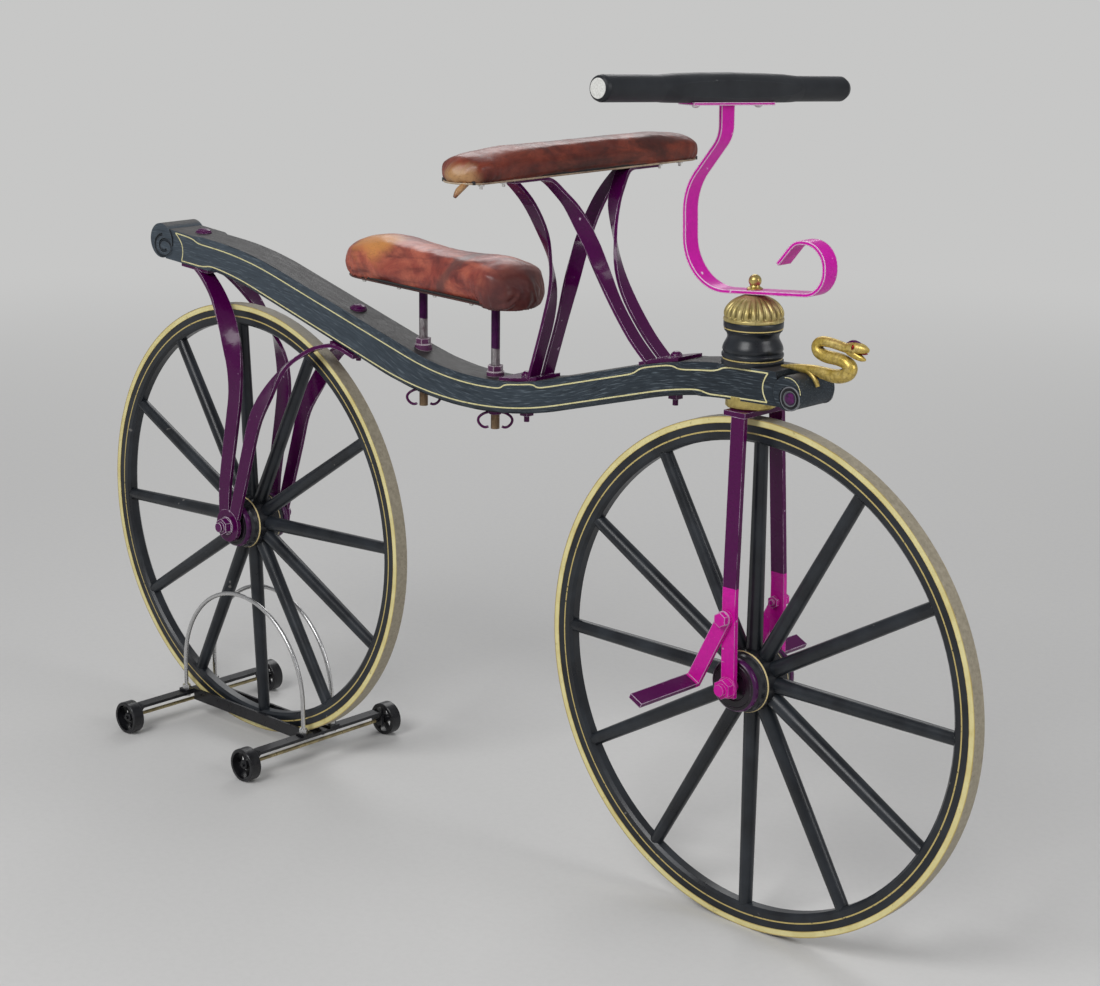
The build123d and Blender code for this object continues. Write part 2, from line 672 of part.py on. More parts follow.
def saddle_posts():
    """Two screwed posts, each with a nut on the beam, a foot plate under the seat and free thread below."""
    posts, nuts, horns = [], [], []
    for x in saddle_post_places:
        foot = bottom_height(x) - horn_nut_height
        end = foot - post_end
        seat_z = saddle_board_z + (saddle_front_x - x) * math.tan(math.radians(saddle_tip))
        post = rod((x, 0, end), (x, 0, seat_z + 1), saddle_post_radius)
        post += rod((x, 0, seat_z - 4), (x, 0, seat_z + 1), 2.4 * saddle_post_radius)
        post -= seat_board
        posts.append(post)
        nut = Pos(x, 0, top_height(x) + 1) * Cylinder(2 * saddle_post_radius, 12)
        nut += hexagon((x, 0, top_height(x) + 7), (0, 0, 1), 20, 9)
        nuts.append(nut - beam_solid - post)
        horns.append(horn_nut(x) - beam_solid - post)
    return Compound(posts), Compound([solid for nut in nuts for solid in nut.solids()]), horns


def horn_nut(x):
    """Nut under the beam with two thin horns that curl out, down and back in like a ram's."""
    z = bottom_height(x) - horn_nut_height
    nut = rod((x, 0, z), (x, 0, z + horn_nut_height + 6), 1.4 * saddle_post_radius, 1.8 * saddle_post_radius)
    turn = Pos(x, 0, z + 2) * Rot(0, 0, horn_turn)
    for side in (-1, 1):
        horn = Spline((side * 7, 0, 0), (side * (horn_reach - 8), 0, -2), (side * horn_reach, 0, -horn_drop / 2),
                      (side * (horn_reach - 8), 0, -horn_drop), (side * (horn_reach - 15), 0, 1 - horn_drop))
        section = Plane(origin=horn @ 0, z_dir=horn % 0) * Circle(horn_radius)
        nut += turn * sweep(section, path=horn)
    return nut


def figurehead():
    """Gilt serpent lying on the front volute, its neck bent back and its head forward."""
    # x, z and radius along the body
    stations = [
        (556, 797, 3), (577, 801, 6), (600, 797, 8.5), (628, 791, 10), (652, 794, 10.5),
        (668, 808, 10), (655, 819, 9), (630, 823, 8), (613, 829, 7.5), (622, 838, 7.5),
        (645, 837, 7), (662, 834, 8), (676, 831, 6), (690, 826, 3),
    ]
    x, z, radius = stations[0]
    body = Pos(x, 0, z) * Sphere(radius)
    for (x, z, radius), (next_x, next_z, next_radius) in zip(stations, stations[1:]):
        body += rod((x, 0, z), (next_x, 0, next_z), radius, next_radius)
        body += Pos(next_x, 0, next_z) * Sphere(next_radius)
    return body - beam_solid


def stand():
    """Writes the bent cross bars, rails, hoops and rollers that hold the rear wheel upright."""
    bar_z = stand_bar_top - stand_bar_thickness / 2
    rear_x = rear_axle_x - stand_half_spacing
    front_x = rear_axle_x + stand_half_spacing
    tab = stand_rail_thickness
    for name, x in (("rear", rear_x), ("front", front_x)):
        half = stand_bar_half_length
        path = [(-half, roller_radius - 7), (-half, bar_z), (half, bar_z), (half, roller_radius - 7)]
        bar = Pos(x, 0, 0) * Rot(0, 0, 90) * strip(path, [8, 8], stand_bar_thickness, stand_bar_width)
        bar -= rod((x, -200, roller_radius), (x, 200, roller_radius), roller_rod_radius + bearing_clearance)
        for side in (-1, 1):
            bar -= Pos(x, side * hoop_y, bar_z) * Cylinder(hoop_rod_radius, 30)
        write(f"stand_{name}_bar", bar)
        tip = roller_outer_y + roller_rod_end - 4
        rollers = rod((x, -tip, roller_radius), (x, tip, roller_radius), roller_rod_radius)
        for side in (-1, 1):
            rollers += roller(x, side)
        write(f"stand_{name}_rollers", rollers)
    for name, side in (("left", 1), ("right", -1)):
        rail_length = 2 * stand_half_spacing - stand_bar_width
        rail_z = stand_bar_top + tab - stand_rail_height / 2
        rail_y = side * (stand_rail_inner_y + tab / 2)
        rail = Pos(rear_axle_x, rail_y, rail_z) * Box(rail_length, tab, stand_rail_height)
        for x in (rear_x, front_x):
            rail += Pos(x, side * (hoop_y + 8 + stand_rail_inner_y) / 2, stand_bar_top + tab / 2) * Box(
                stand_bar_width, hoop_y + 8 - stand_rail_inner_y, tab)
        for x in (rear_x, front_x):
            rail -= Pos(x, side * hoop_y, bar_z) * Cylinder(hoop_rod_radius, 60)
        write(f"stand_{name}_rail", rail)
        write(f"stand_{name}_hoop", hoop(side, rear_x, front_x, stand_bar_top + tab))


def roller(x, side):
    """Small wheel of a rim, a hub boss and spokes between them, on the outer end of a stand's rod."""
    rim = turned([(roller_radius - 1, 0), (roller_radius, 1), (roller_radius, roller_width - 1),
                  (roller_radius - 1, roller_width), (roller_radius - 5, roller_width),
                  (roller_radius - 6, 5), (roller_radius - 6, 0)], (0, 0, 0))
    boss = turned([(0, 0), (roller_boss_radius, 0), (roller_boss_radius, roller_width - 5),
                   (roller_boss_radius - 2, roller_width - 4), (0, roller_width - 4)], (0, 0, 0))
    shape = rim + boss
    reach = roller_radius - 3
    for number in range(roller_spoke_count):
        spoke = Pos(reach / 2, 0, 4.5) * Box(reach, 5, 7)
        shape += Rot(0, 0, number * 360 / roller_spoke_count) * spoke
    return Plane(origin=(x, side * roller_inner_y, roller_radius), z_dir=(0, side, 0)) * shape


def hoop(side, rear_x, front_x, seat_z):
    """Bright rod bent over beside the wheel, with a nut on and a nut under each cross bar."""
    y = side * hoop_y
    foot_z = stand_bar_top - stand_bar_thickness - 5
    bend_z = hoop_height - stand_half_spacing
    legs = rod((rear_x, y, foot_z), (rear_x, y, bend_z), hoop_rod_radius)
    legs += rod((front_x, y, foot_z), (front_x, y, bend_z), hoop_rod_radius)
    arch = Edge.make_three_point_arc((rear_x, y, bend_z), (rear_axle_x, y, hoop_height), (front_x, y, bend_z))
    section = Plane(origin=(rear_x, y, bend_z), z_dir=(0, 0, 1)) * Circle(hoop_rod_radius)
    shape = legs + sweep(section, path=Wire([arch]))
    for x in (rear_x, front_x):
        shape += hexagon((x, y, seat_z), (0, 0, 1), 12, 7)
        shape += hexagon((x, y, stand_bar_top - stand_bar_thickness), (0, 0, -1), 12, 4)
    return shape


def write(name, shape):
    """Saves one node."""
    export_step(shape, f"parts/{name}.step")


os.makedirs("parts", exist_ok=True)

top_path = rounded(top_corners, top_rounding)
bottom_path = rounded(bottom_corners, bottom_rounding)
head_z = top_height(steering_x)
dome_top = head_z + vase_height + dome_height
strap_z = dome_top + play + strap_thickness / 2
crown_top = bottom_height(steering_x) - collar_height - play
under_board = rest_board_z - arm_thickness / 2
stand_reach = stand_half_spacing - stand_bar_width / 2
tyre_over_bar = rear_axle_z - math.sqrt(wheel_radius ** 2 - stand_reach ** 2)
stand_bar_top = tyre_over_bar - stand_clearance

wheel("front_wheel", front_axle_x, front_axle_z, front_spoke_phase)
wheel("rear_wheel", rear_axle_x, rear_axle_z, rear_spoke_phase)
write("front_axle", axle(front_axle_x, front_axle_z))
write("rear_axle", axle(rear_axle_x, rear_axle_z))

beam_solid = beam()
write("beam", beam_solid)
vase, dome = head()
write("head_vase", vase - beam_solid)
write("head_dome", dome)
collar = turned([(steering_pin_radius + bearing_clearance, -collar_height), (collar_radius - 2, -collar_height),
                 (collar_radius, 2 - collar_height), (collar_radius, 4),
                 (steering_pin_radius + bearing_clearance, 4)], (steering_x, 0, bottom_height(steering_x)))
write("head_collar", collar - beam_solid)
write("figurehead", figurehead())

crown, blades = fork()
write("fork_crown", crown)
for side_name, side_sign in (("left", 1), ("right", -1)):
    write(f"fork_{side_name}_blade", blades[side_name])
    write(f"{side_name}_footrest", footrest(side_sign))
strap = steering_strap()
grip, grip_plate = handlebar()
write("handlebar", grip)
write("handlebar_plate", grip_plate)
above_plate = Pos(handlebar_x, 0, handlebar_z) * Rot(-handlebar_tilt, 0, 0) * Pos(
    0, 0, 51 - handlebar_flat - handlebar_plate_thickness) * Box(120, 120, 100)
write("steering_strap", strap - above_plate)
nut_z = strap_z + strap_rise + strap_thickness / 2
ball = turned([(0, -2), (10.5, -2), (10.5, 2), (7, 4), (6, 7), (0, 7)], (steering_x, 0, nut_z))
ball += Pos(steering_x, 0, nut_z + ball_rise) * Sphere(ball_radius)
write("steering_ball_nut", ball - strap - crown)

rear_strap = rear_rest_strap()
front_strap = front_rest_strap()
write("rest_rear_strap", rear_strap)
write("rest_front_strap", front_strap)
rest_board, rest_pad = arm_rest()
write("rest_board", rest_board)
write("rest_pad", rest_pad)
seat_board, seat_pad = saddle()
write("saddle_board", seat_board)
write("saddle_pad", seat_pad)
post_solids, nut_solids, horn_solids = saddle_posts()
write("saddle_posts", post_solids)
write("saddle_post_nuts", nut_solids)
for horn_name, horn in zip(("rear", "front"), horn_solids):
    write(f"saddle_{horn_name}_horn_nut", horn)
rear_stays = rear_fork()
write("rear_stays", rear_stays)
fore_stays = fore_fork(rear_stays)
write("fore_stays", fore_stays)
bolts = [frame_bolt(rear_bolt_x, 0, stay_thickness, rear_stays, frame_bolt_head),
         frame_bolt(fore_bolt_x, 0, stay_thickness, fore_stays, frame_bolt_head),
         frame_bolt(rear_foot_bolt_x, foot_plate_thickness, 0, rear_strap, foot_bolt_head),
         frame_bolt(front_foot_bolt_x, foot_plate_thickness, 0, front_strap, foot_bolt_head)]
write("frame_bolts", Compound(bolts))
stand()
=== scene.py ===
"""Dresses the dandy horse: shapes its soft, turned and carved pieces and gives each surface its finish."""

from __future__ import annotations

import json
import logging
import math
from dataclasses import dataclass
from enum import Enum
from typing import Callable, Sequence, Union

import bmesh
import bpy
from mathutils import Matrix, Vector, noise

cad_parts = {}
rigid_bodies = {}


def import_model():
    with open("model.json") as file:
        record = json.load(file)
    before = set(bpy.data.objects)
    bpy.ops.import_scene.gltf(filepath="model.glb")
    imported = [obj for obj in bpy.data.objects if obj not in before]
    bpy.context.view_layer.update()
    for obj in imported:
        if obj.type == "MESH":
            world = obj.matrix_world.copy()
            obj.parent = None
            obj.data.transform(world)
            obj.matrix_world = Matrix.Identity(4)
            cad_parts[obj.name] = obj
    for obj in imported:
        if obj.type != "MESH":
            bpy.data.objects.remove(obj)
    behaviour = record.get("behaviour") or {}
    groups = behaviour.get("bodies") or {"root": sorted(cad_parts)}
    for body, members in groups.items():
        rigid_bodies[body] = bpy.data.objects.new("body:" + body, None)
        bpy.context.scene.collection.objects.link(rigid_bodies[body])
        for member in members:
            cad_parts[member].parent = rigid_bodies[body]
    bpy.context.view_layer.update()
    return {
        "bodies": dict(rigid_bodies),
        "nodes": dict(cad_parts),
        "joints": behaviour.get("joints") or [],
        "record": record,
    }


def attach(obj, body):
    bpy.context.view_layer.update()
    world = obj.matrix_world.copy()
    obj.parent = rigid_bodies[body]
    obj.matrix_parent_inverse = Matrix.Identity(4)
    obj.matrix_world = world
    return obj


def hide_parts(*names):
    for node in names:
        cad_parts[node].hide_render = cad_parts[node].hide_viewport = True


log = logging.getLogger("dandy_horse")

# One millimetre in metres: sizes of pieces are written in millimetres, and the scene is in metres.
MM = 0.001
# Points nearer than this are one point, and heights nearer than this are one height, in metres.
MERGE_GAP = 1e-5
LEVEL_GAP = 1e-6
# Angles in degrees above which an edge stays sharp, on turned pieces and on tubes.
CREASE = 35.0
TUBE_CREASE = 50.0
# Rings between two points of a tube.
TUBE_STEPS = 8
# A place that no part of the machine reaches, for a colour change that isn't wanted.
NOWHERE = -1000.0
Colour = tuple[float, float, float]
Point = tuple[float, float, float]
Socket = bpy.types.NodeSocket
Feed = Union[float, Sequence[float], Socket]


class Body(Enum):
    """The rigid bodies that pieces ride on."""

    FRAME = "frame"
    STEERING = "steering"
    FRONT_WHEEL = "front_wheel"
    REAR_WHEEL = "rear_wheel"


class Side(Enum):
    """The rider's left and right."""

    LEFT = 1
    RIGHT = -1


class Easing(Enum):
    """How a value goes from one level to another."""

    SOFT = "SMOOTHSTEP"
    EVEN = "LINEAR"


class Domain(Enum):
    """What is chosen in edit mode."""

    VERTS = "VERT"
    EDGES = "EDGE"


def clear_selection() -> None:
    """Goes back to object mode with nothing selected."""
    if bpy.context.mode != "OBJECT":
        bpy.ops.object.mode_set(mode="OBJECT")
    bpy.ops.object.select_all(action="DESELECT")


def hold(piece: bpy.types.Object) -> None:
    """Makes a piece the only selected and active object.

    Args:
        piece: The object.
    """
    clear_selection()
    piece.select_set(True)
    bpy.context.view_layer.objects.active = piece


def named(name: str) -> bpy.types.Object:
    """Names the primitive just added.

    Args:
        name: The piece's name.

    Returns:
        The new object.
    """
    piece = bpy.context.object
    piece.name = name
    piece.data.name = name
    return piece


def settle(piece: bpy.types.Object) -> None:
    """Moves a piece's place and turn into its mesh."""
    hold(piece)
    bpy.ops.object.transform_apply(location=True, rotation=True, scale=True)


def apply_modifiers(piece: bpy.types.Object) -> None:
    """Applies every modifier of a piece in order.

    Args:
        piece: The object.
    """
    hold(piece)
    for modifier in list(piece.modifiers):
        bpy.ops.object.modifier_apply(modifier=modifier.name)


def smooth(piece: bpy.types.Object, degrees: float = CREASE) -> None:
    """Shades a piece smooth, with creases sharper than an angle in degrees kept."""
    hold(piece)
    bpy.ops.object.shade_smooth_by_angle(angle=math.radians(degrees))


def choose(piece: bpy.types.Object, domain: Domain, test: Callable[..., bool]) -> None:
    """Selects elements of the mesh in edit mode by a test on each.

    Args:
        piece: The object in edit mode.
        domain: Vertices or edges.
        test: Says of each vertex or edge whether it is chosen.
    """
    bpy.ops.mesh.select_mode(type=domain.value)
    bpy.ops.mesh.select_all(action="DESELECT")
    mesh = bmesh.from_edit_mesh(piece.data)
    for item in mesh.verts if domain is Domain.VERTS else mesh.edges:
        if test(item):
            item.select_set(True)
    mesh.select_flush_mode()
    bmesh.update_edit_mesh(piece.data)


def clean(piece: bpy.types.Object) -> None:
    """Merges doubles and turns the faces outwards.

    Args:
        piece: The object, in object mode.
    """
    hold(piece)
    bpy.ops.object.mode_set(mode="EDIT")
    bpy.ops.mesh.select_all(action="SELECT")
    bpy.ops.mesh.remove_doubles(threshold=MERGE_GAP)
    bpy.ops.mesh.normals_make_consistent(inside=False)
    bpy.ops.object.mode_set(mode="OBJECT")


def lathe(name: str, outline: Sequence[tuple[float, float]], segments: int = 64) -> bpy.types.Object:
    """Turns a piece about Z by extruding a ring up through an outline and closing its ends.

    Args:
        name: The piece's name.
        outline: Radius and height pairs in millimetres, from the bottom up, or round a ring's section.
        segments: How many sides the ring has.

    Returns:
        The turned piece, standing on its own axis at the origin.
    """
    clear_selection()
    radius, height = outline[0]
    bpy.ops.mesh.primitive_circle_add(
        vertices=segments, radius=radius * MM, fill_type="NOTHING", location=(0, 0, height * MM))
    piece = named(name)
    settle(piece)
    bpy.ops.object.mode_set(mode="EDIT")
    bpy.ops.mesh.select_mode(type="EDGE")
    bpy.ops.mesh.select_all(action="SELECT")
    for next_radius, next_height in outline[1:]:
        bpy.ops.mesh.extrude_region_move(
            TRANSFORM_OT_translate={"value": (0, 0, (next_height - height) * MM)})
        grow = next_radius / radius
        bpy.ops.transform.resize(value=(grow, grow, 1), center_override=(0, 0, next_height * MM))
        radius, height = next_radius, next_height
    for end in () if outline[0] == outline[-1] else (outline[0][1], outline[-1][1]):
        choose(piece, Domain.EDGES,
               lambda edge: edge.is_boundary and abs(edge.verts[0].co.z - end * MM) < LEVEL_GAP)
        bpy.ops.mesh.edge_face_add()
    bpy.ops.object.mode_set(mode="OBJECT")
    clean(piece)
    smooth(piece)
    return piece


def place(piece: bpy.types.Object, where: Point, axis: Point = (0, 0, 1)) -> None:
    """Stands a piece made about Z on a point, along an axis, and settles it.

    Args:
        piece: The piece, standing at the origin.
        where: Where its foot goes, in millimetres.
        axis: Which way its top points.
    """
    piece.rotation_euler = Vector(axis).to_track_quat("Z", "Y").to_euler()
    piece.location = Vector(where) * MM
    settle(piece)


def tube(name: str, points: Sequence[Point], radii: Sequence[float], sides: int = 16,
         flat: float = 1.0) -> bpy.types.Object:
    """Rounds a smooth tube through points, with its own radius at each.

    Args:
        name: The piece's name.
        points: Places along the middle, in millimetres.
        radii: Radius at each place, in millimetres.
        sides: How many sides its section has.
        flat: How thick it is across Y, as a share of its radius.

    Returns:
        The tube as a closed mesh.
    """
    clear_selection()
    line = bpy.data.curves.new(name, "CURVE")
    line.dimensions = "3D"
    line.bevel_depth = 1.0
    line.bevel_resolution = max(sides // 4 - 1, 1)
    line.use_fill_caps = True
    line.twist_mode = "MINIMUM"
    spline = line.splines.new("NURBS")
    spline.points.add(len(points) - 1)
    for knot, where, radius in zip(spline.points, points, radii):
        knot.co = (where[0] * MM, where[1] * MM, where[2] * MM, 1)
        knot.radius = radius * MM
    spline.use_endpoint_u = True
    spline.order_u = 3
    spline.resolution_u = TUBE_STEPS
    piece = bpy.data.objects.new(name, line)
    bpy.context.scene.collection.objects.link(piece)
    hold(piece)
    bpy.ops.object.convert(target="MESH")
    piece = bpy.context.object
    if flat != 1.0:
        middle_y = points[0][1] * MM
        for vertex in piece.data.vertices:
            vertex.co.y = middle_y + (vertex.co.y - middle_y) * flat
    clean(piece)
    smooth(piece, TUBE_CREASE)
    return piece


def join(name: str, pieces: Sequence[bpy.types.Object]) -> bpy.types.Object:
    """Joins pieces into one object.

    Args:
        name: The joined piece's name.
        pieces: The objects that become one.

    Returns:
        The joined object.
    """
    clear_selection()
    for piece in pieces:
        piece.select_set(True)
    bpy.context.view_layer.objects.active = pieces[0]
    bpy.ops.object.join()
    return named(name)


def wear(piece: bpy.types.Object, material: bpy.types.Material, body: Body,
         nodes: Sequence[str] = ()) -> None:
    """Gives a piece its finish and its body, and hides the nodes it stands for.

    Args:
        piece: The finished piece.
        material: Its finish.
        body: What it moves with.
        nodes: CAD nodes that it replaces.
    """
    piece.data.materials.clear()
    piece.data.materials.append(material)
    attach(piece, body.value)
    if nodes:
        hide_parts(*nodes)
    log.info("made %s on %s", piece.name, body.value)


class Board:
    """One material's node tree, with short calls for the nodes that the finishes use."""

    def __init__(self, name: str) -> None:
        """Starts a tree with a shader and the object's own coordinates.

        Args:
            name: The material's name.
        """
        self.material = bpy.data.materials.new(name)
        self.material.use_nodes = True
        self.tree = self.material.node_tree
        self.tree.nodes.clear()
        output = self.add("ShaderNodeOutputMaterial")
        self.shader = self.add("ShaderNodeBsdfPrincipled")
        self.tree.links.new(self.shader.outputs[0], output.inputs[0])
        self.object = self.add("ShaderNodeTexCoord").outputs["Object"]
        parts = self.add("ShaderNodeSeparateXYZ")
        self.feed(parts.inputs[0], self.object)
        self.x, self.y, self.z = parts.outputs

    def add(self, kind: str, **settings: object) -> bpy.types.Node:
        """Adds a node.

        Args:
            kind: The node's type.
            settings: Its properties and their values.

        Returns:
            The node.
        """
        node = self.tree.nodes.new(kind)
        for name, value in settings.items():
            setattr(node, name, value)
        return node

    def feed(self, socket: Socket, value: Feed) -> None:
        """Feeds an input.

        Args:
            socket: The input.
            value: A socket to link to it, or the value that it takes.
        """
        if isinstance(value, bpy.types.NodeSocket):
            self.tree.links.new(value, socket)
        elif isinstance(value, (tuple, list)) and len(value) == 3 and socket.type == "RGBA":
            socket.default_value = (*value, 1.0)
        else:
            socket.default_value = value

    def maths(self, operation: str, *values: Feed) -> Socket:
        """Does arithmetic.

        Args:
            operation: What is done with the values, such as MULTIPLY.
            values: One to three values.

        Returns:
            The result.
        """
        node = self.add("ShaderNodeMath", operation=operation)
        for socket, value in zip(node.inputs, values):
            self.feed(socket, value)
        return node.outputs[0]

    def times(self, first: Feed, second: Feed) -> Socket:
        """Product of two values."""
        return self.maths("MULTIPLY", first, second)

    def stretched(self, scale: Point, vector: Socket | None = None) -> Socket:
        """Stretches a pattern's coordinates.

        Args:
            scale: Factor along each axis.
            vector: The coordinates, or the object's own.

        Returns:
            The stretched coordinates.
        """
        node = self.add("ShaderNodeMapping")
        self.feed(node.inputs["Vector"], vector or self.object)
        node.inputs["Scale"].default_value = scale
        return node.outputs[0]

    def noise(self, scale: float, detail: float = 4.0, roughness: float = 0.5, distortion: float = 0.0,
              vector: Socket | None = None) -> Socket:
        """Cloudy noise, from 0 to 1.

        Args:
            scale: Clouds a metre.
            detail: How many finer layers it has.
            roughness: How strong each finer layer is.
            distortion: How much it swirls.
            vector: Its coordinates, or the object's own.

        Returns:
            The noise.
        """
        node = self.add("ShaderNodeTexNoise")
        self.feed(node.inputs["Vector"], vector or self.object)
        node.inputs["Scale"].default_value = scale
        node.inputs["Detail"].default_value = detail
        node.inputs["Roughness"].default_value = roughness
        node.inputs["Distortion"].default_value = distortion
        return node.outputs["Fac"]

    def cells(self, scale: float) -> Socket:
        """Fills space with small cells.

        Args:
            scale: Cells a metre.

        Returns:
            Distance from the middle of each cell.
        """
        node = self.add("ShaderNodeTexVoronoi")
        self.feed(node.inputs["Vector"], self.object)
        node.inputs["Scale"].default_value = scale
        return node.outputs["Distance"]

    def span(self, value: Feed, low: float, high: float, to_low: float = 0.0, to_high: float = 1.0,
             easing: Easing = Easing.SOFT) -> Socket:
        """Goes from one value to another as the input goes from low to high.

        Args:
            value: The input.
            low: Where the change starts.
            high: Where it ends.
            to_low: The value before it.
            to_high: The value after it.
            easing: How it goes between them.

        Returns:
            The value.
        """
        node = self.add("ShaderNodeMapRange", interpolation_type=easing.value)
        for socket, number in zip(node.inputs, (value, low, high, to_low, to_high)):
            self.feed(socket, number)
        return node.outputs[0]

    def band(self, value: Feed, middle: float, half: float, soft: float) -> Socket:
        """Marks a band.

        Args:
            value: What is measured.
            middle: The band's middle.
            half: Half of its width.
            soft: How wide its soft edges are.

        Returns:
            1 in the band and 0 outside.
        """
        away = self.maths("ABSOLUTE", self.maths("SUBTRACT", value, middle))
        return self.span(away, half + soft, half)

    def mix(self, factor: Feed, first: Feed, second: Feed) -> Socket:
        """Mixes two colours.

        Args:
            factor: 0 for the first and 1 for the second.
            first: A colour.
            second: The colour laid over it.

        Returns:
            The mixed colour.
        """
        node = self.add("ShaderNodeMix", data_type="RGBA")
        self.feed(node.inputs[0], factor)
        self.feed(node.inputs[6], first)
        self.feed(node.inputs[7], second)
        return node.outputs[2]

    def vary(self, cloud: Socket, low: float, high: float, first: Feed, second: Feed) -> Socket:
        """Colour that goes from the first to the second as a cloud goes from low to high."""
        return self.mix(self.span(cloud, low, high), first, second)

    def rub(self, colour: Feed, paint: Colour, reach: float, amount: Socket,
            turn: tuple[float, float] = (0.01, 0.12)) -> Socket:
        """Colour with its edges rubbed, as far as a reach in millimetres and by an amount."""
        return self.mix(self.times(self.edges(reach, *turn), amount), colour, paint)

    def shade(self, factor: Feed, *stops: tuple[float, Colour]) -> Socket:
        """Runs through several colours.

        Args:
            factor: Place in the run, from 0 to 1.
            stops: Place and colour of each stop.

        Returns:
            The colour.
        """
        node = self.add("ShaderNodeValToRGB")
        self.feed(node.inputs[0], factor)
        ramp = node.color_ramp
        while len(ramp.elements) < len(stops):
            ramp.elements.new(1.0)
        for element, (position, colour) in zip(ramp.elements, stops):
            element.position = position
            element.color = (*colour, 1.0)
        return node.outputs[0]

    def radius(self, x: float, z: float) -> Socket:
        """Measures how far the surface is from an axle along Y.

        Args:
            x: The axle's place along X, in millimetres.
            z: The axle's height, in millimetres.

        Returns:
            The distance in metres.
        """
        across = self.maths("SUBTRACT", self.x, x * MM)
        up = self.maths("SUBTRACT", self.z, z * MM)
        return self.maths("SQRT", self.maths("MULTIPLY_ADD", across, across, self.times(up, up)))

    def edges(self, reach: float, low: float = 0.01, high: float = 0.12) -> Socket:
        """1 on edges and corners and 0 on open faces.

        Args:
            reach: How far from an edge it is felt, in millimetres.
            low: Turn of the surface at which it starts.
            high: Turn of the surface at which it is full.

        Returns:
            The mask.
        """
        bevel = self.add("ShaderNodeBevel", samples=6)
        bevel.inputs["Radius"].default_value = reach * MM
        geometry = self.add("ShaderNodeNewGeometry")
        if not self.shader.inputs["Normal"].is_linked:
            self.feed(self.shader.inputs["Normal"], bevel.outputs[0])
        dot = self.add("ShaderNodeVectorMath", operation="DOT_PRODUCT")
        self.feed(dot.inputs[0], bevel.outputs[0])
        self.feed(dot.inputs[1], geometry.outputs["Normal"])
        return self.span(self.maths("SUBTRACT", 1.0, dot.outputs["Value"]), low, high)

    def hollows(self, reach: float, low: float = 0.45, high: float = 0.95) -> Socket:
        """Marks hollows, for painted shade laid over them.

        Args:
            reach: How far they are felt, in millimetres.
            low: Openness at which the mark is full.
            high: Openness at which it is gone.

        Returns:
            1 deep in hollows and 0 in the open.
        """
        ambient = self.add("ShaderNodeAmbientOcclusion", samples=6, only_local=True)
        ambient.inputs["Distance"].default_value = reach * MM
        return self.span(ambient.outputs["AO"], low, high, 1.0, 0.0)

    def upward(self, low: float = 0.5, high: float = 0.9) -> Socket:
        """Marks what faces up.

        Args:
            low: Height of the normal at which the mark starts.
            high: Height at which it is full.

        Returns:
            1 where the surface faces up and 0 where it doesn't.
        """
        geometry = self.add("ShaderNodeNewGeometry")
        parts = self.add("ShaderNodeSeparateXYZ")
        self.feed(parts.inputs[0], geometry.outputs["True Normal"])
        return self.span(parts.outputs[2], low, high)

    def bump(self, height: Socket, distance: float, strength: float = 1.0) -> None:
        """Raises the surface on top of what is there already.

        Args:
            height: The pattern that raises it.
            distance: How far, in millimetres.
            strength: How much of that is seen, or below 0 to sink it.
        """
        node = self.add("ShaderNodeBump")
        node.inputs["Strength"].default_value = strength
        node.inputs["Distance"].default_value = distance * MM
        self.feed(node.inputs["Height"], height)
        before = self.shader.inputs["Normal"]
        if before.is_linked:
            self.feed(node.inputs["Normal"], before.links[0].from_socket)
        self.feed(before, node.outputs[0])

    def surface(self, colour: Feed, roughness: Feed, metallic: Feed = 0.0, coat: float = 0.0,
                coat_roughness: float = 0.1, specular: float = 0.35) -> bpy.types.Material:
        """Feeds the shader.

        Args:
            colour: Base colour.
            roughness: Roughness, plain or patterned.
            metallic: How metallic it is.
            coat: Weight of the clear coat.
            coat_roughness: Roughness of that coat.
            specular: Strength of plain reflection.

        Returns:
            The finished material.
        """
        inputs = self.shader.inputs
        self.feed(inputs["Base Color"], colour)
        self.feed(inputs["Roughness"], roughness)
        self.feed(inputs["Metallic"], metallic)
        inputs["Coat Weight"].default_value = coat
        inputs["Coat Roughness"].default_value = coat_roughness
        inputs["Specular IOR Level"].default_value = specular
        return self.material


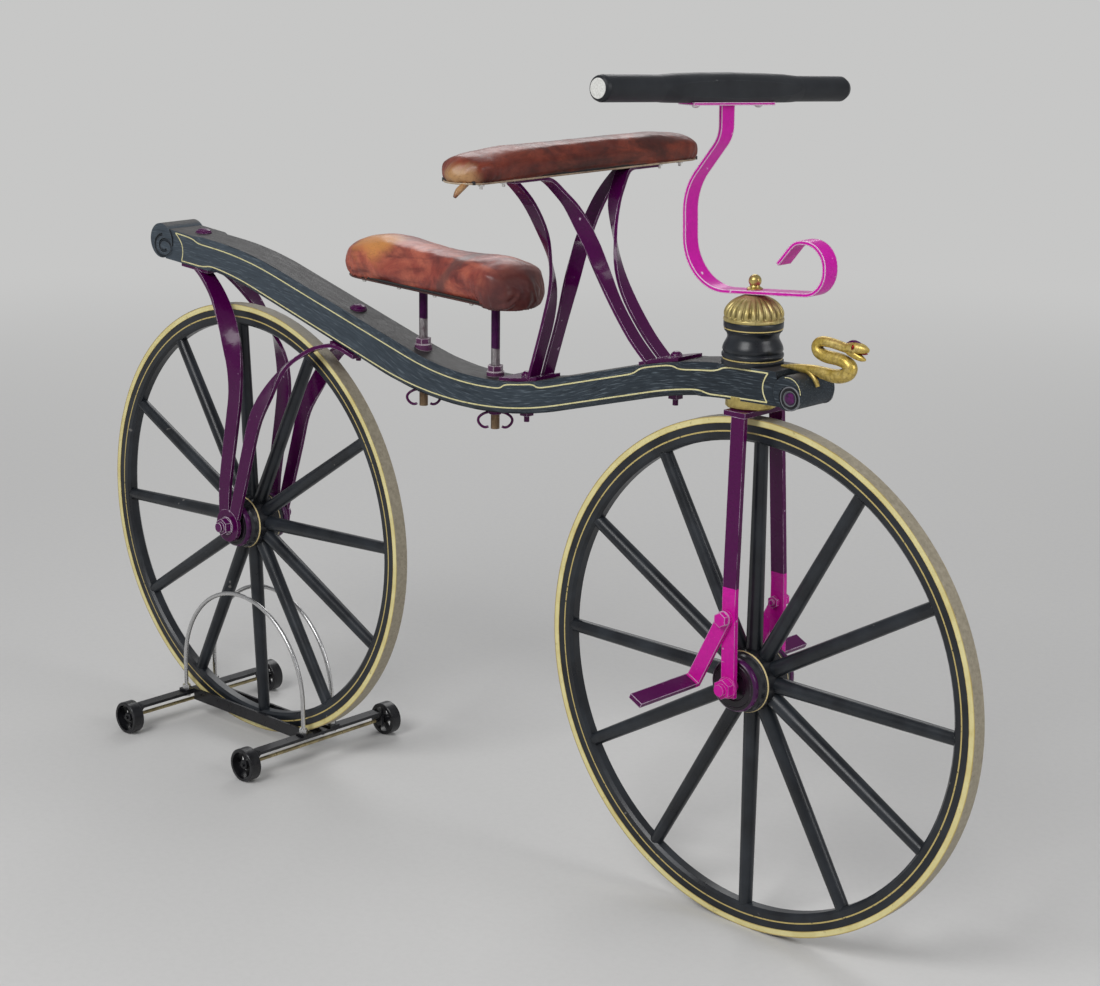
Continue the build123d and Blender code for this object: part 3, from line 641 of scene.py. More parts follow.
@dataclass(frozen=True)
class WornPaint:
    """Thick brushed gloss paint on iron, chipped pale along its edges, in one or two colours; the pale edges
    and specks are partly painted glints.
    """

    name: str
    colour: Colour
    second: Colour = (0.0, 0.0, 0.0)
    change_z: float = NOWHERE
    change_y: float = NOWHERE
    change_under: float = 385.0
    chips: float = 0.5
    gloss: float = 0.2
    edge: float = 1.0
    # Colour of the chips, and of the painted glints on edges and specks.
    pale: Colour = (0.6, 0.45, 0.6)
    streak: Colour = (0.02, 0.0, 0.02)
    grime: Colour = (0.03, 0.008, 0.02)

    def ground(self, board: Board, rough: Socket) -> Feed:
        """The paint under its wear: one colour, or two that meet in a brushed line.

        Args:
            board: The material's nodes.
            rough: Noise that makes the line waver.

        Returns:
            The colour.
        """
        if self.change_z > NOWHERE:
            line = board.maths("MULTIPLY_ADD", rough, 0.004, board.z)
            above = board.span(line, (self.change_z + 1.4) * MM, (self.change_z + 2.4) * MM)
            return board.mix(above, self.second, self.colour)
        if self.change_y > NOWHERE:
            line = board.maths("MULTIPLY_ADD", rough, 0.003, board.maths("ABSOLUTE", board.y))
            beyond = board.span(line, (self.change_y + 1.0) * MM, (self.change_y + 2.0) * MM)
            below = board.span(board.z, (self.change_under + 1.0) * MM, (self.change_under - 1.0) * MM)
            return board.mix(board.times(beyond, below), self.colour, self.second)
        return self.colour

    def make(self) -> bpy.types.Material:
        """Builds the finish.

        Returns:
            The material.
        """
        board = Board(self.name)
        rough = board.noise(34.0, 3.0, 0.55)
        fine = board.noise(210.0, 5.0, 0.6)
        colour = self.ground(board, rough)
        colour = board.mix(board.span(fine, 0.35, 0.7, 0.0, 0.14), colour, self.streak)
        worn = board.span(rough, 0.62 - 0.45 * self.chips, 0.74 - 0.27 * self.chips)
        # Pale edges: chipped paint, and partly painted glints along the edges.
        colour = board.rub(colour, self.pale, self.edge, worn, (0.005, 0.05))
        # Pale specks: chips, and partly painted glints.
        flecks_and_glints = board.span(board.noise(120.0, 2.0, 0.4), 0.77 - 0.06 * self.chips, 0.8, 0.0, 0.75)
        colour = board.mix(flecks_and_glints, colour, self.pale)
        grime = board.span(board.noise(12.0, 5.0, 0.7), 0.62, 0.9, 0.0, 0.4)
        colour = board.mix(grime, colour, self.grime)
        roughness = board.span(rough, 0.2, 0.8, self.gloss - 0.06, self.gloss + 0.14)
        board.bump(fine, 0.1, 0.4)
        board.bump(rough, 0.5, 0.3)
        return board.surface(colour, roughness, coat=0.1, coat_roughness=0.1, specular=0.2)


@dataclass(frozen=True)
class BeamPaint:
    """Slate black paint over open grain that follows the beam, brownish on top, where the tint is partly dust
    and partly painted light falling on the top, and rubbed on its edges.
    """

    name: str = "beam_paint"
    slate: Colour = (0.03, 0.041, 0.053)
    slate_light: Colour = (0.05, 0.066, 0.084)
    slate_rear: Colour = (0.075, 0.095, 0.118)
    slate_front: Colour = (0.012, 0.0155, 0.02)
    pale: Colour = (0.15, 0.185, 0.215)
    crack: Colour = (0.008, 0.01, 0.014)
    top: Colour = (0.034, 0.031, 0.03)
    top_light: Colour = (0.058, 0.053, 0.051)
    rubbed: Colour = (0.17, 0.18, 0.19)
    # Painted shade laid in the beam's hollows.
    hollow_shade: Colour = (0.006, 0.007, 0.009)
    ends: tuple[float, float] = (-0.74, 0.62)
    rise: float = 0.25
    bends: tuple = ((0.0, 0.82), (0.175, 0.77), (0.35, 0.55), (0.5, 0.23), (0.58, 0.17), (0.66, 0.23),
                    (0.85, 0.5), (1.0, 0.53))

    def along_grain(self, board: Board) -> Socket:
        """Bends the coordinates as the beam is bent, so that its grain follows it.

        Args:
            board: The material's nodes.

        Returns:
            Coordinates whose height is measured from the beam's middle line.
        """
        curve = board.add("ShaderNodeFloatCurve")
        board.feed(curve.inputs["Value"], board.span(board.x, *self.ends, easing=Easing.EVEN))
        points = curve.mapping.curves[0].points
        while len(points) < len(self.bends):
            points.new(0.5, 0.5)
        for point, place_and_height in zip(points, self.bends):
            point.location = place_and_height
        curve.mapping.update()
        bent = board.add("ShaderNodeCombineXYZ")
        height = board.maths("SUBTRACT", board.z, board.times(curve.outputs[0], self.rise))
        for socket, value in zip(bent.inputs, (board.x, board.y, height)):
            board.feed(socket, value)
        return bent.outputs[0]

    def make(self) -> bpy.types.Material:
        """Builds the finish.

        Returns:
            The material.
        """
        board = Board(self.name)
        bent = self.along_grain(board)
        fibre = board.noise(1.0, 6.0, 0.62, 0.35, board.stretched((22.0, 420.0, 420.0), bent))
        pores = board.noise(1.0, 3.0, 0.5, 0.1, board.stretched((42.0, 720.0, 720.0), bent))
        cloud = board.noise(9.0, 5.0, 0.6)
        colour = board.vary(fibre, 0.36, 0.7, self.slate, self.slate_light)
        colour = board.mix(board.span(board.x, 0.1, -0.6, 0.0, 0.45), colour, self.slate_rear)
        colour = board.mix(board.span(board.x, 0.1, 0.5, 0.0, 0.6), colour, self.slate_front)
        colour = board.mix(board.span(pores, 0.54, 0.7, 0.0, 0.62), colour, self.pale)
        colour = board.mix(board.span(fibre, 0.3, 0.42, 0.6, 0.0), colour, self.crack)
        # Upward faces get a brownish tint that stands for dust and partly for painted light falling on the
        # top.
        top_dust_and_light = board.vary(fibre, 0.35, 0.65, self.top, self.top_light)
        colour = board.mix(board.times(board.upward(0.75, 0.97), 0.9), colour, top_dust_and_light)
        colour = board.rub(colour, self.rubbed, 1.3, board.span(cloud, 0.35, 0.7, 0.1, 0.9))
        # Painted shade: the beam's grooves and hollows are darkened almost to black by an occlusion mask.
        colour = board.mix(board.times(board.hollows(7.0, 0.6, 0.96), 0.9), colour, self.hollow_shade)
        board.bump(fibre, 0.5, 0.5)
        board.bump(pores, 0.3, 0.4)
        return board.surface(colour, board.span(fibre, 0.3, 0.7, 0.42, 0.62), specular=0.2)


@dataclass(frozen=True)
class LinePaint:
    """Thin brushed line in pale yellow, broken here and there."""

    name: str = "line_paint"
    dull: Colour = (0.4, 0.35, 0.17)
    yellow: Colour = (0.7, 0.64, 0.32)
    bright: Colour = (0.8, 0.76, 0.48)

    def make(self) -> bpy.types.Material:
        """Builds the finish.

        Returns:
            The material.
        """
        board = Board(self.name)
        cloud = board.noise(90.0, 4.0, 0.6)
        colour = board.shade(cloud, (0.28, self.dull), (0.42, self.yellow), (0.8, self.bright))
        return board.surface(colour, 0.5)


@dataclass(frozen=True)
class BlackWood:
    """Black paint on turned or bent wood, soft in its gloss, with thin gold lines where it has them."""

    name: str
    centre: tuple[float, float] | None = None
    rings: tuple[float, ...] = ()
    ring_half: float = 0.8
    heights: tuple[float, ...] = ()
    height_half: float = 0.6
    colour: Colour = (0.009, 0.0105, 0.0135)
    worn: Colour = (0.023, 0.028, 0.035)
    rubbed: Colour = (0.075, 0.08, 0.085)
    chipped: Colour = (0.2, 0.19, 0.18)
    gold: Colour = (0.56, 0.44, 0.16)

    def make(self) -> bpy.types.Material:
        """Builds the finish.

        Returns:
            The material.
        """
        board = Board(self.name)
        cloud = board.noise(16.0, 5.0, 0.6)
        fine = board.noise(240.0, 4.0, 0.6)
        colour = board.vary(cloud, 0.3, 0.75, self.colour, self.worn)
        colour = board.rub(colour, self.rubbed, 1.0, board.span(cloud, 0.42, 0.7, 0.0, 0.7), (0.02, 0.2))
        lines = []
        if self.centre is not None:
            reach = board.radius(*self.centre)
            lines += [board.band(reach, ring * MM, self.ring_half * MM, 0.0004) for ring in self.rings]
        lines += [board.band(board.z, height * MM, self.height_half * MM, 0.0003) for height in self.heights]
        for line in lines:
            colour = board.mix(board.times(line, board.span(fine, 0.3, 0.42)), colour, self.gold)
        chips = board.span(board.noise(52.0, 2.0, 0.4), 0.76, 0.79, 0.0, 0.7)
        colour = board.mix(chips, colour, self.chipped)
        roughness = board.span(cloud, 0.25, 0.75, 0.26, 0.42)
        board.bump(fine, 0.1, 0.4)
        board.bump(cloud, 0.8, 0.2)
        return board.surface(colour, roughness, coat=0.06, coat_roughness=0.2, specular=0.36)


@dataclass(frozen=True)
class HubPaint:
    """Hub in black, with a purple outer band and a gold line round its shoulder."""

    name: str
    x: float
    z: float
    black: tuple[Colour, Colour] = ((0.01, 0.011, 0.014), (0.026, 0.027, 0.031))
    purple: tuple[Colour, Colour] = ((0.085, 0.002, 0.085), (0.04, 0.002, 0.045))
    face: Colour = (0.008, 0.005, 0.009)
    gold: Colour = (0.72, 0.58, 0.28)
    rubbed: Colour = (0.3, 0.2, 0.3)
    # In metres: where the band starts across the machine, where its face ends, and the gold line's middle,
    # half width and softness.
    band_start: tuple[float, float] = (0.0338, 0.0342)
    face_edge: tuple[float, float] = (0.0342, 0.0352)
    gold_line: tuple[float, float, float] = (0.0215, 0.0009, 0.0003)

    def make(self) -> bpy.types.Material:
        """Builds the finish.

        Returns:
            The material.
        """
        board = Board(self.name)
        cloud = board.noise(60.0, 4.0, 0.6)
        away = board.maths("ABSOLUTE", board.y)
        reach = board.radius(self.x, self.z)
        colour = board.vary(cloud, 0.3, 0.75, *self.black)
        outside = board.span(away, *self.band_start)
        band = board.times(outside, board.span(reach, *self.face_edge))
        colour = board.mix(band, colour, board.vary(cloud, 0.3, 0.7, *self.purple))
        face = board.times(outside, board.span(reach, *reversed(self.face_edge)))
        colour = board.mix(face, colour, self.face)
        colour = board.mix(board.band(away, *self.gold_line), colour, self.gold)
        colour = board.rub(colour, self.rubbed, 0.8, board.span(cloud, 0.45, 0.7, 0.0, 0.7))
        board.bump(cloud, 0.4, 0.3)
        return board.surface(colour, board.span(cloud, 0.2, 0.8, 0.22, 0.4), coat=0.12, coat_roughness=0.15)


@dataclass(frozen=True)
class TyrePaint:
    """Iron tyre with rubbed yellow paint on its sides and bare worn metal round its tread."""

    name: str
    x: float
    z: float
    gold: tuple[Colour, Colour] = ((0.36, 0.25, 0.07), (0.6, 0.46, 0.15))
    bright: tuple[Colour, Colour] = ((0.68, 0.58, 0.24), (0.8, 0.72, 0.36))
    dirt: Colour = (0.3, 0.23, 0.1)
    tread: tuple[Colour, Colour, Colour] = ((0.25, 0.22, 0.16), (0.34, 0.3, 0.225), (0.4, 0.36, 0.28))
    rust: Colour = (0.2, 0.165, 0.13)
    pits: Colour = (0.08, 0.06, 0.05)
    # In metres: the bright stripe's radius, half width and softness, where the painted side starts across
    # the machine, and the radius at which it ends.
    stripe: tuple[float, float, float] = (0.3558, 0.0027, 0.0014)
    side_start: tuple[float, float] = (0.0103, 0.0108)
    side_end: tuple[float, float] = (0.3612, 0.3618)

    def make(self) -> bpy.types.Material:
        """Builds the finish.

        Returns:
            The material.
        """
        board = Board(self.name)
        cloud = board.noise(22.0, 5.0, 0.65)
        fine = board.noise(170.0, 4.0, 0.6)
        reach = board.radius(self.x, self.z)
        stripe = board.band(board.maths("MULTIPLY_ADD", cloud, 0.0015, reach), *self.stripe)
        gold, bright = (board.shade(cloud, *zip((0.3, 0.6), pair)) for pair in (self.gold, self.bright))
        yellow = board.mix(stripe, gold, bright)
        dirt = board.span(board.noise(75.0, 4.0, 0.7), 0.6, 0.75, 0.0, 0.6)
        yellow = board.mix(dirt, yellow, self.dirt)
        tread = board.shade(fine, *zip((0.3, 0.6, 0.85), self.tread))
        tread = board.mix(board.span(cloud, 0.55, 0.8, 0.0, 0.4), tread, self.rust)
        pits = board.span(board.noise(420.0, 2.0, 0.5), 0.68, 0.74, 0.0, 0.7)
        tread = board.mix(pits, tread, self.pits)
        side = board.span(board.maths("ABSOLUTE", board.y), *self.side_start)
        outer = board.span(board.maths("MULTIPLY_ADD", cloud, 0.004, reach), *self.side_end)
        colour = board.mix(board.times(side, board.maths("SUBTRACT", 1.0, outer)), tread, yellow)
        board.bump(fine, 0.15, 0.4)
        board.bump(cloud, 1.0, 0.15)
        return board.surface(colour, board.span(fine, 0.3, 0.8, 0.45, 0.68))


@dataclass(frozen=True)
class Gilding:
    """Old bronze-gold leaf, with painted shade darkening its hollows so that what stands out looks bright."""

    name: str
    colour: Colour = (0.43, 0.34, 0.12)
    bright: Colour = (0.6, 0.51, 0.24)
    dark: Colour = (0.05, 0.03, 0.012)
    # How far the painted shade in the hollows reaches, in millimetres.
    depth: float = 2.5
    scales: float = 0.0

    def make(self) -> bpy.types.Material:
        """Builds the finish.

        Returns:
            The material.
        """
        board = Board(self.name)
        cloud = board.noise(55.0, 5.0, 0.65)
        streak = board.noise(1.0, 5.0, 0.6, 0.4, board.stretched((300.0, 300.0, 60.0)))
        colour = board.vary(cloud, 0.35, 0.75, self.colour, self.bright)
        colour = board.mix(board.span(streak, 0.5, 0.75, 0.0, 0.4), colour, self.dark)
        # Painted shade: hollows darkened to the dark bronze by an occlusion mask.
        colour = board.mix(board.hollows(self.depth), colour, self.dark)
        if self.scales > 0.0:
            rim = board.span(board.cells(self.scales), 0.42, 0.7)
            colour = board.mix(board.times(rim, 0.3), colour, self.dark)
            board.bump(rim, 0.5, -0.4)
        board.bump(streak, 0.2, 0.4)
        board.bump(cloud, 0.4, 0.3)
        return board.surface(colour, board.span(cloud, 0.3, 0.7, 0.28, 0.46), metallic=0.55)


@dataclass(frozen=True)
class BossPaint:
    """The volute's boss: a purple eye in grey and black rings with a rubbed rim."""

    x: float
    z: float
    name: str = "boss_paint"
    grey: tuple[Colour, Colour] = ((0.02, 0.022, 0.027), (0.055, 0.06, 0.068))
    eye: tuple[Colour, Colour] = ((0.1, 0.004, 0.1), (0.03, 0.002, 0.035))
    eye_edge: tuple[float, float] = (0.0089, 0.0083)
    # Each ring's radius, half width and softness, in metres, and its colour.
    rings: tuple = ((0.0125, 0.0011, 0.0005, (0.006, 0.006, 0.008)),
                    (0.0102, 0.0006, 0.0005, (0.13, 0.135, 0.15)),
                    (0.0158, 0.0006, 0.0006, (0.16, 0.165, 0.18)))

    def make(self) -> bpy.types.Material:
        """Builds the finish.

        Returns:
            The material.
        """
        board = Board(self.name)
        cloud = board.noise(120.0, 4.0, 0.6)
        reach = board.maths("MULTIPLY_ADD", cloud, 0.0012, board.radius(self.x, self.z))
        colour = board.vary(cloud, 0.35, 0.7, *self.grey)
        for middle, half, soft, paint in self.rings:
            colour = board.mix(board.band(reach, middle, half, soft), colour, paint)
        eye = board.vary(cloud, 0.4, 0.65, *self.eye)
        colour = board.mix(board.span(reach, *self.eye_edge), colour, eye)
        board.bump(cloud, 0.6, 0.5)
        return board.surface(colour, board.span(cloud, 0.3, 0.7, 0.3, 0.5), coat=0.1)


@dataclass(frozen=True)
class Metal:
    """Plain metal with fine scratches and a little tarnish."""

    name: str
    colour: Colour
    tarnish: Colour
    roughness: float = 0.3
    amount: float = 0.5
    scratches: float = 0.5

    def make(self) -> bpy.types.Material:
        """Builds the finish.

        Returns:
            The material.
        """
        board = Board(self.name)
        cloud = board.noise(70.0, 5.0, 0.65)
        scratch = board.noise(1.0, 3.0, 0.6, 0.0, board.stretched((900.0, 900.0, 120.0)))
        colour = board.vary(cloud, 0.6 - 0.3 * self.amount, 0.8, self.colour, self.tarnish)
        board.bump(scratch, 0.08, self.scratches)
        roughness = board.span(cloud, 0.25, 0.8, self.roughness - 0.08, self.roughness + 0.2)
        return board.surface(colour, roughness, metallic=0.9)


@dataclass(frozen=True)
class StandPaint:
    """Black enamel on the stand's iron and rollers, with bare brass rods where it has them."""

    name: str = "stand_paint"
    rod_reach: float = 0.0
    black: tuple[Colour, Colour] = ((0.006, 0.006, 0.008), (0.02, 0.02, 0.023))
    rubbed: Colour = (0.16, 0.16, 0.17)
    brass: tuple[Colour, Colour] = ((0.46, 0.38, 0.2), (0.2, 0.16, 0.09))

    def make(self) -> bpy.types.Material:
        """Builds the finish.

        Returns:
            The material.
        """
        board = Board(self.name)
        cloud = board.noise(40.0, 4.0, 0.6)
        colour = board.vary(cloud, 0.3, 0.8, *self.black)
        colour = board.rub(colour, self.rubbed, 0.7, board.span(cloud, 0.4, 0.65, 0.0, 0.8))
        metallic = 0.0
        if self.rod_reach > 0.0:
            away = board.maths("ABSOLUTE", board.y)
            bare = board.span(away, self.rod_reach * MM, (self.rod_reach - 2.0) * MM)
            colour = board.mix(bare, colour, board.vary(cloud, 0.35, 0.7, *self.brass))
            metallic = board.times(bare, 0.7)
        board.bump(board.noise(260.0, 3.0), 0.1, 0.4)
        return board.surface(colour, board.span(cloud, 0.2, 0.8, 0.22, 0.42), metallic, coat=0.1)


@dataclass(frozen=True)
class PostPaint:
    """Saddle posts: purple above, bare screw thread lower down, dull brass below the beam."""

    name: str = "post_paint"
    steel: tuple[Colour, Colour] = ((0.5, 0.47, 0.48), (0.26, 0.2, 0.22))
    purple: tuple[Colour, Colour] = ((0.08, 0.002, 0.085), (0.045, 0.001, 0.05))
    brass: Colour = (0.3, 0.2, 0.12)
    thread: float = 3900.0
    # In metres: how far up each colour changes, which is higher on the post in front by this slope.
    purple_from: tuple[float, float] = (0.748, 0.75)
    brass_below: tuple[float, float] = (0.672, 0.668)
    slope: float = 0.16

    def make(self) -> bpy.types.Material:
        """Builds the finish.

        Returns:
            The material.
        """
        board = Board(self.name)
        cloud = board.noise(80.0, 4.0, 0.6)
        steel = board.vary(cloud, 0.4, 0.7, *self.steel)
        purple = board.vary(cloud, 0.3, 0.7, *self.purple)
        over = board.maths("MULTIPLY_ADD", board.x, self.slope, board.z)
        colour = board.vary(over, *self.purple_from, steel, purple)
        colour = board.vary(over, *self.brass_below, colour, self.brass)
        board.bump(board.maths("SINE", board.times(board.z, self.thread)), 0.5, 0.8)
        bare = board.span(over, *reversed(self.purple_from))
        return board.surface(colour, 0.38, metallic=board.times(bare, 0.8))


@dataclass(frozen=True)
class HandlebarPaint:
    """Worn black bar whose right end is rubbed down to pale wood."""

    name: str = "handlebar_paint"
    black: tuple[Colour, Colour] = ((0.014, 0.0155, 0.019), (0.028, 0.031, 0.036))
    rubbed: Colour = (0.09, 0.095, 0.1)
    wood: tuple[Colour, Colour] = ((0.6, 0.6, 0.57), (0.78, 0.78, 0.75))
    scuffed: Colour = (0.16, 0.16, 0.165)
    middle_z: float = 1.143
    tilt: tuple[float, float] = (0.9985, -0.0541)
    end: tuple[float, float] = (-0.2504, -0.2507)

    def make(self) -> bpy.types.Material:
        """Builds the finish.

        Returns:
            The material.
        """
        board = Board(self.name)
        cloud = board.noise(14.0, 5.0, 0.6)
        fibre = board.noise(1.0, 5.0, 0.6, 0.2, board.stretched((420.0, 24.0, 420.0)))
        colour = board.vary(cloud, 0.3, 0.75, *self.black)
        colour = board.rub(colour, self.rubbed, 1.6, board.span(cloud, 0.35, 0.65, 0.1, 0.9))
        rise = board.times(board.maths("SUBTRACT", board.z, self.middle_z), self.tilt[1])
        along = board.maths("MULTIPLY_ADD", board.y, self.tilt[0], rise)
        colour = board.vary(along, *self.end, colour, board.vary(fibre, 0.35, 0.65, *self.wood))
        scuff = board.noise(1.0, 3.0, 0.5, 0.0, board.stretched((60.0, 30.0, 160.0)))
        colour = board.vary(scuff, 0.78, 0.81, colour, self.scuffed)
        board.bump(fibre, 0.3, 0.4)
        return board.surface(colour, board.span(cloud, 0.25, 0.75, 0.36, 0.52), specular=0.22)


@dataclass(frozen=True)
class Leather:
    """Old aniline leather: clouded stain, wiped streaks, fine grain, creases and rubbed high spots."""

    name: str
    dark: Colour
    middle: Colour
    light: Colour
    rubbed: Colour
    patch: Point = (0.0, 0.0, 0.0)
    patch_size: Point = (60.0, 80.0, 60.0)
    streak: Point = (9.0, 34.0, 34.0)
    stain_x: float | None = None
    stain: Colour = (0.07, 0.045, 0.045)
    dim_from: float | None = None
    dim: Colour = (0.07, 0.025, 0.026)

    def near_patch(self, board: Board, cloud: Socket) -> Socket:
        """Measures how near the rubbed patch is.

        Args:
            board: The material's nodes.
            cloud: Noise that makes the patch uneven.

        Returns:
            Distance from its middle, in patch sizes.
        """
        where = board.add("ShaderNodeVectorMath", operation="SUBTRACT")
        board.feed(where.inputs[0], board.object)
        where.inputs[1].default_value = Vector(self.patch) * MM
        spread = board.stretched(tuple(1.0 / (size * MM) for size in self.patch_size), where.outputs[0])
        length = board.add("ShaderNodeVectorMath", operation="LENGTH")
        board.feed(length.inputs[0], spread)
        return board.maths("MULTIPLY_ADD", cloud, 1.6, length.outputs["Value"])

    def make(self) -> bpy.types.Material:
        """Builds the finish.

        Returns:
            The material.
        """
        board = Board(self.name)
        cloud = board.noise(13.0, 6.0, 0.62, 0.8)
        small = board.noise(46.0, 5.0, 0.65, 0.4)
        wiped = board.noise(1.0, 5.0, 0.6, 0.7, board.stretched(self.streak))
        crease = board.noise(1.0, 4.0, 0.7, 1.2, board.stretched((40.0, 26.0, 60.0)))
        colour = board.shade(cloud, (0.3, self.dark), (0.45, self.middle), (0.6, self.light),
                             (0.78, self.middle))
        colour = board.mix(board.span(wiped, 0.48, 0.7, 0.0, 0.75), colour, self.dark)
        colour = board.mix(board.span(wiped, 0.28, 0.44, 0.7, 0.0), colour, self.light)
        colour = board.mix(board.span(small, 0.56, 0.8, 0.0, 0.5), colour, self.dark)
        near = self.near_patch(board, cloud)
        colour = board.mix(board.span(near, 1.75, 1.2, 0.0, 0.85), colour, self.rubbed)
        if self.dim_from is not None:
            wander = board.maths("MULTIPLY_ADD", cloud, 0.05, board.x)
            low = board.maths("MULTIPLY_ADD", board.z, -0.6, wander)
            start = (self.dim_from + 25.0 - 0.6 * 840.0) * MM
            colour = board.mix(board.span(low, start, start + 0.06, 0.0, 0.8), colour, self.dim)
        if self.stain_x is not None:
            slant = board.maths("MULTIPLY_ADD", board.z, -0.7, board.x)
            wander = board.maths("MULTIPLY_ADD", small, 0.03, slant)
            stain = board.band(wander, (self.stain_x - 0.7 * 845.0 + 15.0) * MM, 0.004, 0.014)
            colour = board.mix(board.times(stain, 0.65), colour, self.stain)
        line = board.span(board.maths("ABSOLUTE", board.maths("SUBTRACT", crease, 0.5)), 0.014, 0.0)
        colour = board.mix(board.times(line, 0.35), colour, self.dark)
        # Painted shade: the pad's hollows and creases are darkened towards its darkest tone by an occlusion
        # mask.
        colour = board.mix(board.times(board.hollows(4.0, 0.35, 0.8), 0.6), colour, self.dark)
        board.bump(board.cells(620.0), 0.2, 0.25)
        board.bump(line, 0.5, -0.4)
        board.bump(small, 0.8, 0.25)
        roughness = board.span(small, 0.25, 0.75, 0.29, 0.45)
        return board.surface(colour, roughness, coat=0.04, coat_roughness=0.25, specular=0.34)


@dataclass
class Shop:
    """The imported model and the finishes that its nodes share."""

    nodes: dict[str, bpy.types.Object]
    finishes: dict[str, bpy.types.Material]
    wheelbase: float = 1056.0
    front_axle_z: float = 360.0
    rear_axle_z: float = 374.5

    def dress(self, material: bpy.types.Material, *names: str) -> None:
        """Puts one finish on CAD nodes that stay.

        Args:
            material: The finish.
            names: The nodes.
        """
        for name in names:
            node = self.nodes[name]
            if not node.material_slots:
                node.data.materials.append(material)
            for slot in node.material_slots:
                slot.material = material
            log.info("dressed %s in %s", name, material.name)


@dataclass
class Wheels:
    """Both wheels: painted tyres, lined felloes, spokes and banded hubs."""

    shop: Shop
    line_radius: float = 340.0
    band_sides: int = 72
    band_section: tuple = ((30.5, 34.4), (36.6, 34.4), (37.6, 36.4), (37.6, 39.6), (36.6, 42.4), (34.4, 44.0),
                           (31.0, 44.05), (30.5, 43.0), (30.5, 34.4))

    def bands(self, name: str, x: float, z: float, paint: bpy.types.Material) -> None:
        """Turns the wide rounded band at each end of a hub.

        Args:
            name: Body of the wheel.
            x: Its axle's place along the machine.
            z: Its axle's height.
            paint: The hub's finish.
        """
        rings = []
        for side in Side:
            ring = lathe("band", self.band_section, self.band_sides)
            place(ring, (x, 0, z), (0, side.value, 0))
            rings.append(ring)
        wear(join(f"{name}_hub_bands", rings), paint, Body(name))

    def build(self) -> None:
        """Dresses the wheels' nodes."""
        half = self.shop.wheelbase / 2
        for name, x, z in (("front_wheel", half, self.shop.front_axle_z),
                           ("rear_wheel", -half, self.shop.rear_axle_z)):
            tyre = TyrePaint(f"{name}_tyre_paint", x, z).make()
            felloe = BlackWood(f"{name}_felloe_paint", (x, z), (self.line_radius,)).make()
            hub = HubPaint(f"{name}_hub_paint", x, z).make()
            self.shop.dress(tyre, f"{name}_tyre")
            self.shop.dress(felloe, f"{name}_felloe")
            self.shop.dress(hub, f"{name}_hub")
            self.bands(name, x, z, hub)
        self.shop.dress(BlackWood("spoke_paint").make(), "front_wheel_spokes", "rear_wheel_spokes")


